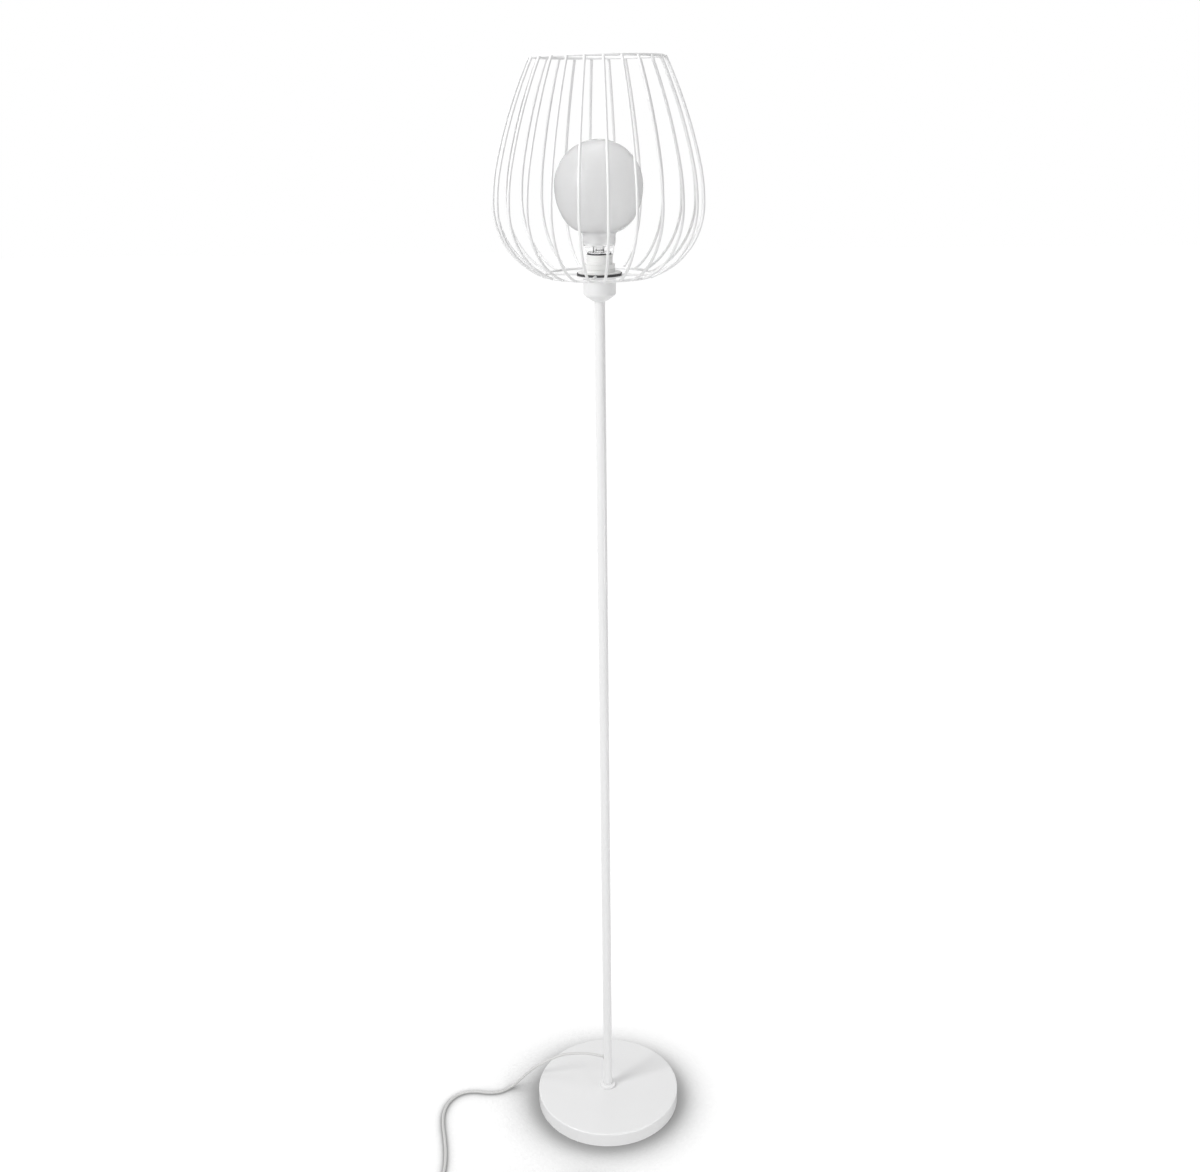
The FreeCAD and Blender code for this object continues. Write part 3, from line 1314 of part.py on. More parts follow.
# ---- flat two-pin plug ----


def slot_sketch(name, x, width, height):
    """An upright slot-shaped section of the plug at a place along X."""
    section = doc.addObject("Sketcher::SketchObject", name)
    section.Placement = FreeCAD.Placement(
        FreeCAD.Vector(),
        FreeCAD.Rotation(FreeCAD.Vector(0, 1, 0), FreeCAD.Vector(0, 0, 1), FreeCAD.Vector(1, 0, 0), "ZXY"),
    )
    place(section, x, "plug_y", "plug_thick / 2")
    half = value(f"({width}) / 2 - ({height}) / 2")
    end_radius = value(f"({height}) / 2")
    normal = FreeCAD.Vector(0, 0, 1)
    quarter = math.pi / 2
    for side in (1, -1):
        end_circle = Part.Circle(FreeCAD.Vector(side * half, 0, 0), normal, end_radius)
        first_angle = -quarter if side == 1 else quarter
        section.addGeometry(Part.ArcOfCircle(end_circle, first_angle, first_angle + 2 * quarter))
        edge_start = FreeCAD.Vector(side * half, side * end_radius, 0)
        edge_end = FreeCAD.Vector(-side * half, side * end_radius, 0)
        section.addGeometry(Part.LineSegment(edge_start, edge_end))
    for constraint in (
        ("Tangent", 0, 2, 1, 1),
        ("Tangent", 1, 2, 2, 1),
        ("Tangent", 2, 2, 3, 1),
        ("Tangent", 3, 2, 0, 1),
        ("Horizontal", 1),
        ("PointOnObject", 0, 3, -1),
        ("Symmetric", 0, 3, 2, 3, -1, 1),
    ):
        section.addConstraint(Sketcher.Constraint(*constraint))
    dimension(section, "Radius", 0, formula=f"({height}) / 2")
    dimension(section, "DistanceX", 2, 3, 0, 3, formula=f"({width}) - ({height})")
    return section


plug_end = "plug_x + plug_length"
sections = [
    slot_sketch("plug_section_cord", "plug_x", "plug_tail_width", "plug_tail_thick"),
    slot_sketch("plug_section_grip", f"{plug_end} - plug_face_length", "plug_width", "plug_thick"),
    slot_sketch("plug_section_face", plug_end, "plug_width", "plug_thick"),
]
moulding = doc.addObject("Part::Loft", "plug_moulding")
moulding.Sections = sections
moulding.Solid = True
moulding.Ruled = True
pins = []
pin_insulation = []
pin_holes = []


def pin_rod(name, sign, dia, start, length):
    """A rod along X on the axis of one of the plug pins."""
    across = f"plug_y + {sign} * pin_spacing / 2"
    return cylinder(name, dia, length, "plug_thick / 2", start, across, ((0, 1, 0), "90"))


shank_dia = "pin_sleeve_dia - 2 * pin_sleeve_wall"
for side, sign in (("left", "-1"), ("right", "1")):
    root_low = f"{plug_end} - pin_root"
    tip_low = f"{plug_end} + pin_sleeve_length"
    root = pin_rod(f"pin_root_{side}", sign, "pin_dia", root_low, "pin_root")
    shank = pin_rod(f"pin_shank_{side}", sign, shank_dia, plug_end, "pin_length")
    tip = pin_rod(f"pin_tip_{side}", sign, "pin_dia", tip_low, "pin_length - pin_sleeve_length")
    skin = pin_rod(f"pin_skin_{side}", sign, "pin_sleeve_dia", plug_end, "pin_sleeve_length")
    bore = pin_rod(f"pin_bore_{side}", sign, shank_dia, plug_end, "pin_sleeve_length")
    pins.append(boolean("MultiFuse", f"pin_{side}", root, shank, tip))
    pin_insulation.append(boolean("Cut", f"pin_sleeve_{side}", skin, bore))
    pin_holes.append(pin_rod(f"pin_hole_{side}", sign, "pin_dia", root_low, "pin_root"))
node(boolean("Cut", "plug_body", moulding, group("pin_holes", pin_holes)), "plug_body")
node(group("plug_pins", pins), "plug_pins")
node(group("pin_sleeves", pin_insulation), "pin_sleeves")
relief = doc.addObject("Part::Cone", "plug_relief")
relief_large = "plug_tail_thick / 2 - relief_inset"
bind(relief, Radius1=relief_large, Radius2="cord_dia / 2 + relief_lip", Height="relief_length")
relief.Placement = FreeCAD.Placement(
    FreeCAD.Vector(), FreeCAD.Rotation(FreeCAD.Vector(0, 0, 1), FreeCAD.Vector(-1, 0, 0))
)
place(relief, "plug_x", "plug_y", "plug_thick / 2")
node(relief, "plug_relief")

# ---- check every object, then write one file for each piece ----

doc.recompute()
faults = [item.Label for item in doc.Objects if {"Invalid", "Error"} & set(item.State)]
for piece in nodes:
    shape = piece.Shape
    if shape.isNull() or not shape.isValid() or not shape.Solids:
        faults.append(piece.Label)
if faults:
    raise RuntimeError(f"these did not build: {faults}")
os.makedirs("parts", exist_ok=True)
for piece in nodes:
    shape = piece.Shape
    box = shape.BoundBox
    print(
        f"{piece.Label}: {len(shape.Solids)} solids, volume {shape.Volume:.0f},"
        f" x {box.XMin:.1f} {box.XMax:.1f} y {box.YMin:.1f} {box.YMax:.1f} z {box.ZMin:.1f} {box.ZMax:.1f}"
    )
    shape.exportStep(f"parts/{piece.Label}.step")
print(f"{len(nodes)} pieces written")
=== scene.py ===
import math

import bpy
import numpy as np
from mathutils import Matrix, Vector


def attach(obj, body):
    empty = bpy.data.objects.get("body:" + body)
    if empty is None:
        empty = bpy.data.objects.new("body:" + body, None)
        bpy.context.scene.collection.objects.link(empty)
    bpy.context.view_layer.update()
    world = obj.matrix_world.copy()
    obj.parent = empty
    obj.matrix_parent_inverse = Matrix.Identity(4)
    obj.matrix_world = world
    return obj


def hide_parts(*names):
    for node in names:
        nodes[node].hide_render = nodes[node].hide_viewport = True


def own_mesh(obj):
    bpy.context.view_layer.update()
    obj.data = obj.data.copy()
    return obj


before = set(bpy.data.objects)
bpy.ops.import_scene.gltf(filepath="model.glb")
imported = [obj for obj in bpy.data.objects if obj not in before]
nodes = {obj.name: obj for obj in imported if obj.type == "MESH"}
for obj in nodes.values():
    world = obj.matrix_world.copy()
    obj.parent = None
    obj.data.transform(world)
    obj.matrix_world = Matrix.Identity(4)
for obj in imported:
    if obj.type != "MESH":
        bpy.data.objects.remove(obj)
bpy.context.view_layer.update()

scene = bpy.context.scene

# ---- studio ----
# The lamp stands on a white paper floor in a white room. The camera is a little lower than the lamp's
# top, looks down at it, and is rolled by a hair, as in the photograph.

lens_data = bpy.data.cameras.new("studio_camera")
lens_data.lens = 40.125
lens_data.sensor_width = 36
lens_data.clip_start = 0.05
lens_data.clip_end = 60
camera = bpy.data.objects.new("studio_camera", lens_data)
scene.collection.objects.link(camera)
stand = Matrix.Translation((-0.0044, -1.966, 1.7092))
tilt = Matrix.Rotation(math.radians(90 - 20.127), 4, "X")
roll = Matrix.Rotation(math.radians(-0.65), 4, "Z")
camera.matrix_world = stand @ tilt @ roll
scene.camera = camera


def softbox(name, place, aim, width, height, watts):
    """A square of light at a place, turned so that its face looks at another place."""
    data = bpy.data.lights.new(name, "AREA")
    data.shape = "RECTANGLE"
    data.size = width
    data.size_y = height
    data.energy = watts
    lamp = bpy.data.objects.new(name, data)
    scene.collection.objects.link(lamp)
    lamp.location = place
    lamp.rotation_euler = (Vector(aim) - Vector(place)).to_track_quat("-Z", "Y").to_euler()
    return lamp


softbox("softbox_left", (-2.3, -1.5, 2.6), (0, 0, 1.5), 1.1, 2.0, 60)
softbox("softbox_front", (0.4, -3.2, 2.6), (0, 0, 1.0), 2.0, 1.4, 7)
softbox("softbox_top", (-0.3, 0.5, 3.6), (0, 0, 0), 2.0, 2.0, 29)
softbox("softbox_right", (1.6, -1.3, 0.45), (0, 0, 0.02), 0.9, 0.5, 10)

world = bpy.data.worlds.new("white_room")
scene.world = world
world.use_nodes = True
tree = world.node_tree
tree.nodes.clear()
path = tree.nodes.new("ShaderNodeLightPath")
seen = tree.nodes.new("ShaderNodeMath")
seen.operation = "MAXIMUM"
tree.links.new(path.outputs["Is Camera Ray"], seen.inputs[0])
tree.links.new(path.outputs["Is Glossy Ray"], seen.inputs[1])
seen_through = tree.nodes.new("ShaderNodeMath")
seen_through.operation = "MAXIMUM"
tree.links.new(seen.outputs[0], seen_through.inputs[0])
tree.links.new(path.outputs["Is Transmission Ray"], seen_through.inputs[1])
room_light = tree.nodes.new("ShaderNodeBackground")
room_light.inputs["Color"].default_value = (0.995, 0.995, 1, 1)
room_light.inputs["Strength"].default_value = 0.4
white = tree.nodes.new("ShaderNodeBackground")
white.inputs["Color"].default_value = (1, 1, 1, 1)
white.inputs["Strength"].default_value = 1
either = tree.nodes.new("ShaderNodeMixShader")
tree.links.new(seen_through.outputs[0], either.inputs["Fac"])
tree.links.new(room_light.outputs[0], either.inputs[1])
tree.links.new(white.outputs[0], either.inputs[2])
out = tree.nodes.new("ShaderNodeOutputWorld")
tree.links.new(either.outputs[0], out.inputs["Surface"])

floor_mesh = bpy.data.meshes.new("paper_floor")
reach = 14
floor_mesh.from_pydata(
    [(-reach, -reach, 0), (reach, -reach, 0), (reach, reach, 0), (-reach, reach, 0)], [], [(0, 1, 2, 3)]
)
floor = bpy.data.objects.new("paper_floor", floor_mesh)
scene.collection.objects.link(floor)
paper = bpy.data.materials.new("white_paper")
paper.use_nodes = True
tree = paper.node_tree
tree.nodes.clear()
# Painted shadow: camera, glossy and transmission rays see a faint lit diffuse part plus an emission whose grey
# falls with ambient occlusion, so the soft shadow round the foot is painted on the floor.
lit = tree.nodes.new("ShaderNodeBsdfDiffuse")
lit.inputs["Color"].default_value = (0.8, 0.8, 0.8, 1)
painted_shadow_mask = tree.nodes.new("ShaderNodeAmbientOcclusion")
painted_shadow_mask.inputs["Distance"].default_value = 0.2
painted_shadow_mask.samples = 12
# This ramp turns ambient occlusion near the foot into the grey of the painted shadow.
contact = tree.nodes.new("ShaderNodeValToRGB")
painted_shadow_tones = contact.color_ramp.elements
painted_shadow_tones[0].position, painted_shadow_tones[0].color = 0.5, (0.22, 0.22, 0.22, 1)
painted_shadow_tones[1].position, painted_shadow_tones[1].color = 1, (0.97, 0.97, 0.97, 1)
for place, tone in [(0.72, 0.29), (0.77, 0.34), (0.84, 0.45), (0.9, 0.57), (0.95, 0.68), (0.975, 0.81)]:
    painted_shadow_tones.new(place).color = (tone, tone, tone, 1)
tree.links.new(painted_shadow_mask.outputs["AO"], contact.inputs["Fac"])
painted_shadow_glow = tree.nodes.new("ShaderNodeEmission")
tree.links.new(contact.outputs["Color"], painted_shadow_glow.inputs["Color"])
faint = tree.nodes.new("ShaderNodeBsdfDiffuse")
faint.inputs["Color"].default_value = (0.12, 0.12, 0.12, 1)
both = tree.nodes.new("ShaderNodeAddShader")
tree.links.new(faint.outputs[0], both.inputs[0])
tree.links.new(painted_shadow_glow.outputs[0], both.inputs[1])
path = tree.nodes.new("ShaderNodeLightPath")
seen = tree.nodes.new("ShaderNodeMath")
seen.operation = "MAXIMUM"
tree.links.new(path.outputs["Is Camera Ray"], seen.inputs[0])
tree.links.new(path.outputs["Is Glossy Ray"], seen.inputs[1])
seen_through = tree.nodes.new("ShaderNodeMath")
seen_through.operation = "MAXIMUM"
tree.links.new(seen.outputs[0], seen_through.inputs[0])
tree.links.new(path.outputs["Is Transmission Ray"], seen_through.inputs[1])
either = tree.nodes.new("ShaderNodeMixShader")
tree.links.new(seen_through.outputs[0], either.inputs["Fac"])
tree.links.new(lit.outputs[0], either.inputs[1])
tree.links.new(both.outputs[0], either.inputs[2])
out = tree.nodes.new("ShaderNodeOutputMaterial")
tree.links.new(either.outputs[0], out.inputs["Surface"])
floor_mesh.materials.append(paper)
scene.view_settings.view_transform = "Standard"

# ---- mains cord ----
# Round white PVC mains cord, 4.6 mm thick. One run goes from the pole to the foot switch, and one from
# the switch through a coil of spare cord to the plug. It lies on the floor under its own weight, and a
# small plastic clip holds the coil.


def fine_surface(name, colour, roughness, grain, depth, shade=0.03, patch=6.0, metal=0.0):
    """A finish whose colour drifts a little from place to place, with a grain of hills and hollows.
    The colour is the named one times one less a slow noise, and the height is a quick noise."""
    finish = bpy.data.materials.new(name)
    finish.use_nodes = True
    tree = finish.node_tree
    shader = tree.nodes["Principled BSDF"]
    shader.inputs["Metallic"].default_value = metal
    where = tree.nodes.new("ShaderNodeTexCoord")
    drift = tree.nodes.new("ShaderNodeTexNoise")
    drift.inputs["Scale"].default_value = patch
    drift.inputs["Detail"].default_value = 3
    tree.links.new(where.outputs["Object"], drift.inputs["Vector"])
    blend = tree.nodes.new("ShaderNodeMix")
    blend.data_type = "RGBA"
    blend.inputs["A"].default_value = (*colour, 1)
    blend.inputs["B"].default_value = (*[c * (1 - 2 * shade) for c in colour], 1)
    tree.links.new(drift.outputs["Fac"], blend.inputs["Factor"])
    tree.links.new(blend.outputs["Result"], shader.inputs["Base Color"])
    hills = tree.nodes.new("ShaderNodeTexNoise")
    hills.inputs["Scale"].default_value = grain
    hills.inputs["Detail"].default_value = 2
    tree.links.new(where.outputs["Object"], hills.inputs["Vector"])
    spread = tree.nodes.new("ShaderNodeMapRange")
    spread.inputs["To Min"].default_value = roughness * 0.85
    spread.inputs["To Max"].default_value = roughness * 1.15
    tree.links.new(hills.outputs["Fac"], spread.inputs["Value"])
    tree.links.new(spread.outputs["Result"], shader.inputs["Roughness"])
    bump = tree.nodes.new("ShaderNodeBump")
    bump.inputs["Strength"].default_value = 1
    bump.inputs["Distance"].default_value = depth
    tree.links.new(hills.outputs["Fac"], bump.inputs["Height"])
    tree.links.new(bump.outputs["Normal"], shader.inputs["Normal"])
    return finish


def dress(finish, *names):
    """Gives pieces of the frame a finish, on every slot that they have."""
    for name in names:
        for place in nodes[name].material_slots:
            place.material = finish


cord_pvc = fine_surface("white_cord_pvc", (0.68, 0.68, 0.67), 0.42, 900, 0.00004, 0.03, 40)


def cord_run(name, points):
    """A round cord whose centreline is one smooth curve drawn by these points."""
    line = bpy.data.curves.new(name, "CURVE")
    line.dimensions = "3D"
    line.bevel_depth = 0.0023
    line.bevel_resolution = 6
    line.resolution_u = 8
    line.use_fill_caps = True
    spline = line.splines.new("NURBS")
    places = np.column_stack([np.array(points, float) / 1000, np.ones(len(points))])
    spline.points.add(len(places) - 1)
    spline.points.foreach_set("co", places.ravel())
    spline.order_u = 3
    spline.use_endpoint_u = True
    line.materials.append(cord_pvc)
    run = bpy.data.objects.new(name, line)
    scene.collection.objects.link(run)
    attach(run, "lamp")
    return run


lead_points = [
    (-8.081, 2.941, 86),
    (-30.634, 11.15, 86),
    (-56, 18.5, 81),
    (-84, 28, 71),
    (-112, 26, 58),
    (-137, 25, 43),
    (-158, 25.5, 21),
    (-175.5, 25.5, 2.3),
    (-195, 11, 2.3),
    (-219, 9, 2.3),
    (-247, 15, 2.3),
    (-272, 8, 2.3),
    (-289, -12, 2.3),
    (-296, -41, 2.3),
    (-293, -73, 2.3),
    (-286, -106, 2.3),
    (-281, -139, 2.3),
    (-279, -171, 2.3),
    (-282, -203, 2.3),
    (-288, -232, 2.3),
    (-284, -258, 4),
    (-263, -274, 8),
    (-243, -274, 8),
]
lead = cord_run("cord_lead_run", lead_points)
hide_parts("cord_lead")

link_points = [(-117, -274, 8), (-99, -274, 8), (-80, -277, 4.4), (-61, -279, 2.3), (-44.6, -279, 2.3)]
coil_layers = [
    [(30, 0), (27.45, 0), (24.9, 0), (22.35, 5.1)],
    [(24.9, 0), (27.45, 0), (30, 5.1)],
    [(27.45, 0), (24.9, 0), (22.35, 5.1)],
    [(24.9, 0), (27.45, 0)],
]
half_turns = np.array([half for layer in coil_layers for half in layer])
steps = 8
share = (np.arange(steps) + 0.5) / steps
side = np.where(np.arange(len(half_turns)) % 2 == 0, 1.0, -1.0)
radius = half_turns[:, 0]
climb = half_turns[:, 1]
start_y = -279 + np.concatenate([[0], np.cumsum(2 * radius * side)[:-1]])
start_z = 2.3 + np.concatenate([[0], np.cumsum(climb)[:-1]])
swell = radius / math.cos(math.pi / (2 * steps))
around = math.pi * share[None, :]
coil_x = -40 + side[:, None] * swell[:, None] * np.sin(around)
coil_y = (start_y + side * radius)[:, None] - side[:, None] * swell[:, None] * np.cos(around)
coil_z = start_z[:, None] + climb[:, None] * share[None, :]
coil_points = np.stack([coil_x, coil_y, coil_z], axis=2).reshape(-1, 3).tolist()
tail_points = [
    (-35.4, -268.8, 17.6),
    (-16, -268.8, 17.6),
    (3, -274, 9.5),
    (26, -271, 2.3),
    (50, -274, 2.3),
    (73, -281, 6.85),
    (93, -281, 6.85),
]
spare = cord_run("cord_spare_run", link_points + coil_points + tail_points)
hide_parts("cord_link", "cord_coil", "cord_tail")

clip_turn = np.linspace(0, math.pi / 2, 7)
clip_left = np.stack([-69.1 - 1.5 * np.cos(clip_turn), 19.2 + 1.5 * np.sin(clip_turn)], axis=1)
clip_right = np.stack([-57.9 + 1.5 * np.cos(clip_turn[::-1]), 19.2 + 1.5 * np.sin(clip_turn[::-1])], axis=1)
clip_line = np.vstack([[(-70.6, 0.3), (-70.6, 10)], clip_left, clip_right, [(-56.4, 10), (-56.4, 4)]])
clip_step = np.gradient(clip_line, axis=0)
clip_step /= np.linalg.norm(clip_step, axis=1, keepdims=True)
clip_side = np.stack([-clip_step[:, 1], clip_step[:, 0]], axis=1) * 0.45
clip_edges = [
    np.column_stack([line[:, 0], np.full(len(line), y), line[:, 1]])
    for line, y in [
        (clip_line - clip_side, -254.4),
        (clip_line + clip_side, -254.4),
        (clip_line + clip_side, -249),
        (clip_line - clip_side, -249),
    ]
]
clip_points = np.stack(clip_edges, axis=1).reshape(-1, 3) / 1000
clip_row = np.arange(len(clip_line) - 1)[:, None] * 4
clip_corner = np.arange(4)[None, :]
clip_next = (clip_corner + 1) % 4
clip_quads = np.stack(
    [clip_row + clip_corner, clip_row + clip_next, clip_row + 4 + clip_next, clip_row + 4 + clip_corner], axis=2
).reshape(-1, 4)
clip_mesh = bpy.data.meshes.new("coil_clip")
clip_last = (len(clip_line) - 1) * 4
clip_ends = [(3, 2, 1, 0), (clip_last, clip_last + 1, clip_last + 2, clip_last + 3)]
clip_mesh.from_pydata(clip_points.tolist(), [], clip_quads.tolist() + clip_ends)
clip = bpy.data.objects.new("coil_clip", clip_mesh)
scene.collection.objects.link(clip)
clip_mesh.materials.append(fine_surface("clip_plastic", (0.55, 0.55, 0.54), 0.45, 700, 0.00004, 0.04, 60))
clip_edge = clip.modifiers.new("soft_edges", "BEVEL")
clip_edge.width = 0.0002
clip_edge.segments = 2
clip_edge.limit_method = "ANGLE"
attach(clip, "lamp")

# ---- foot ----
# A shallow cover of spun sheet steel, powder coated white, over a cast cement weight. A soft foam pad is
# glued under it, and a hollow threaded stud with a washer and a nut holds the pole to it.


def satin_coat(name, colour, roughness, gloss):
    """Powder coat with a clear skin: fine orange peel under a smoother coat of the named strength."""
    finish = fine_surface(name, colour, roughness, 1100, 0.00002, 0.012, 9)
    shader = finish.node_tree.nodes["Principled BSDF"]
    shader.inputs["Coat Weight"].default_value = gloss
    shader.inputs["Coat Roughness"].default_value = 0.12
    return finish


spun_coat = satin_coat("white_coat_on_spun_steel", (0.87, 0.87, 0.87), 0.36, 0.35)
tree = spun_coat.node_tree
where = next(n for n in tree.nodes if n.type == "TEX_COORD")
bump = next(n for n in tree.nodes if n.type == "BUMP")
rings = tree.nodes.new("ShaderNodeTexWave")
rings.wave_type = "RINGS"
rings.rings_direction = "Z"
rings.inputs["Scale"].default_value = 260
rings.inputs["Distortion"].default_value = 0.6
tree.links.new(where.outputs["Object"], rings.inputs["Vector"])
spinning = tree.nodes.new("ShaderNodeBump")
spinning.inputs["Strength"].default_value = 1
spinning.inputs["Distance"].default_value = 0.000006
tree.links.new(rings.outputs["Fac"], spinning.inputs["Height"])
tree.links.new(bump.outputs["Normal"], spinning.inputs["Normal"])
tree.links.new(spinning.outputs["Normal"], tree.nodes["Principled BSDF"].inputs["Normal"])
dress(spun_coat, "base_cover")
cement = fine_surface("cast_cement", (0.42, 0.41, 0.39), 0.9, 260, 0.0004, 0.15, 60)
dress(cement, "base_weight")
zinc = fine_surface("zinc_plated_steel", (0.62, 0.64, 0.66), 0.32, 700, 0.00001, 0.06, 90, 1.0)
dress(zinc, "base_washer", "base_stud", "lock_nuts")


def turned_surface(name, profile, count):
    """A closed surface of turning: every (radius, height) of the profile, in millimetres, goes round the
    lamp's axis in count steps, and a point stands on the axis at each end."""
    rim = np.array(profile, float) / 1000
    angle = 2 * np.pi * np.arange(count) / count
    x = rim[:, 0, None] * np.cos(angle)
    y = rim[:, 0, None] * np.sin(angle)
    z = np.repeat(rim[:, 1, None], count, axis=1)
    wall = np.stack([x, y, z], axis=2).reshape(-1, 3)
    ends = [(0, 0, rim[0, 1]), (0, 0, rim[-1, 1])]
    row = np.arange(len(rim) - 1)[:, None] * count
    here = np.arange(count)[None, :]
    there = (here + 1) % count
    quads = np.stack([row + here, row + there, row + count + there, row + count + here], axis=2)
    last = (len(rim) - 1) * count
    foot = [(len(wall), b, a) for a, b in zip(range(count), np.roll(range(count), -1).tolist())]
    top = [(len(wall) + 1, last + a, last + b) for a, b in zip(range(count), np.roll(range(count), -1).tolist())]
    mesh = bpy.data.meshes.new(name)
    mesh.from_pydata(np.vstack([wall, ends]).tolist(), [], quads.reshape(-1, 4).tolist() + foot + top)
    mesh.polygons.foreach_set("use_smooth", [True] * len(mesh.polygons))
    piece = bpy.data.objects.new(name, mesh)
    scene.collection.objects.link(piece)
    return piece


pad_profile = [
    (60, 0),
    (112, 0),
    (118.8, 0),
    (119.6, 0.3),
    (120, 0.8),
    (120, 1.3),
    (119.7, 1.8),
    (119, 2),
    (112, 2),
    (60, 2),
]
pad = turned_surface("foam_floor_pad", pad_profile, 96)
foam = fine_surface("grey_foam", (0.17, 0.17, 0.175), 0.95, 1500, 0.0002, 0.1, 200)
pad.data.materials.append(foam)
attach(pad, "lamp")
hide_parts("base_pad")

# ---- pole ----
# Three lengths of thin steel tube, screwed end to end with threaded bushes and hollow nipples, and coated
# white as the foot. A turned collar covers the joint at the foot, and a small grommet lines the outlet.

pole_coat = satin_coat("white_coat_on_tube", (0.87, 0.87, 0.87), 0.34, 0.35)
dress(pole_coat, "pole_lower", "pole_middle", "pole_upper", "foot_collar")
dress(zinc, "pole_bushes", "pole_nipples")
grommet_grey = fine_surface("grommet_plastic", (0.5, 0.5, 0.49), 0.5, 900, 0.00003, 0.04, 60)
dress(grommet_grey, "cord_grommet")
dress(cord_pvc, "pole_cord")

# ---- lamp holder ----
# A white steel cup on the pole's top hides the wiring. The holder is moulded plastic: a dome and a barrel
# with a coarse outside thread, and in it an insulating core, a brass screw shell and the centre contact.

dress(pole_coat, "holder_cup")
dress(zinc, "head_nipple", "terminal_screws")
holder_plastic = fine_surface("holder_plastic", (0.86, 0.86, 0.85), 0.45, 800, 0.00003, 0.02, 50)
dress(holder_plastic, "holder_dome", "holder_barrel")
core_ceramic = fine_surface("core_ceramic", (0.78, 0.76, 0.71), 0.3, 400, 0.00002, 0.03, 60)
dress(core_ceramic, "holder_core")
brass = fine_surface("brass", (0.78, 0.6, 0.3), 0.28, 600, 0.00001, 0.08, 90, 1.0)
dress(brass, "screw_shell", "centre_contact", "terminal_blocks")
wire_pvc = fine_surface("wire_insulation", (0.72, 0.72, 0.7), 0.4, 900, 0.00002, 0.03, 60)
dress(wire_pvc, "holder_wires")

# ---- clamp under the cage ----
# The cage's centre plate sits on the cup, with a near-black ring on it whose black is painted shade of the gap
# under the clamp rings.
# Two ribbed plastic rings screw down the holder's thread and clamp both.

dress(pole_coat, "cage_plate")
# Painted shade: the gasket is near-black so that it draws the shade in the gap under the lower clamp ring's
# flange.
painted_gap_shade = fine_surface("black_rubber", (0.028, 0.028, 0.03), 0.6, 700, 0.00004, 0.1, 60)
dress(painted_gap_shade, "plate_gasket")
dress(holder_plastic, "clamp_ring_lower", "clamp_ring_upper")

# ---- wire cage ----
# Twenty-four bent steel wires, 4 mm thick, are spot welded outside a top ring and a bottom ring, and four
# spokes join the bottom ring to the plate. All of it is coated white after the welding.

wire_coat = satin_coat("white_coat_on_wire", (0.88, 0.88, 0.88), 0.34, 0.35)
dress(wire_coat, "cage_ring_top", "cage_ring_bottom", "cage_spokes", "cage_bars")


def weld_beads(name, turns, across, up, along, out, deep):
    """Small lens-shaped beads of coated weld, one at each turn round the axis. Each is a ball drawn out
    along the ring, across the joint and up: a point is its place plus the ball's direction times the size."""
    lat = np.pi * (np.arange(1, 8) / 8 - 0.5)
    lon = 2 * np.pi * np.arange(12) / 12
    ball = np.stack(
        [
            np.cos(lat)[:, None] * np.cos(lon),
            np.cos(lat)[:, None] * np.sin(lon),
            np.repeat(np.sin(lat)[:, None], 12, axis=1),
        ],
        axis=2,
    ).reshape(-1, 3)
    ball = np.vstack([ball, [(0, 0, -1), (0, 0, 1)]]) * (out, along, deep)
    turns = np.radians(np.asarray(turns, float))
    outward = np.stack([np.cos(turns), np.sin(turns), 0 * turns], axis=1)
    sideways = np.stack([-np.sin(turns), np.cos(turns), 0 * turns], axis=1)
    upward = np.array([0, 0, 1.0])
    places = outward * across + upward * up
    points = (
        places[:, None, :]
        + ball[None, :, 0, None] * outward[:, None, :]
        + ball[None, :, 1, None] * sideways[:, None, :]
        + ball[None, :, 2, None] * upward
    )
    row = np.arange(6)[:, None] * 12
    here = np.arange(12)[None, :]
    there = (here + 1) % 12
    quads = np.stack([row + here, row + there, row + 12 + there, row + 12 + here], axis=2).reshape(-1, 4)
    caps = np.vstack(
        [
            np.stack([np.full(12, 84), there[0], here[0]], axis=1),
            np.stack([np.full(12, 85), 72 + here[0], 72 + there[0]], axis=1),
        ]
    )
    shift = np.arange(len(turns))[:, None, None] * 86
    faces = (quads[None] + shift).reshape(-1, 4).tolist() + (caps[None] + shift).reshape(-1, 3).tolist()
    mesh = bpy.data.meshes.new(name)
    mesh.from_pydata((points.reshape(-1, 3) / 1000).tolist(), [], faces)
    mesh.polygons.foreach_set("use_smooth", [True] * len(mesh.polygons))
    beads = bpy.data.objects.new(name, mesh)
    scene.collection.objects.link(beads)
    mesh.materials.append(wire_coat)
    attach(beads, "lamp")
    return beads


bar_turns = 4.8 + 15 * np.arange(24)
weld_beads("top_welds", bar_turns, 92.4, 1758.8, 2.0, 1.3, 1.4)
weld_beads("bottom_welds", bar_turns, 81.0, 1467.2, 2.3, 1.2, 1.7)

# ---- bulb ----
# A blown glass globe, etched inside so that it looks frosted, with a clear foot where the etching ends. The
# glass is set in a rolled screw cap, over a black glass insulator and a lead contact. A thin near-black ring
# in the gap between the holder's mouth and the glass foot is painted shade of the inside of the mouth.

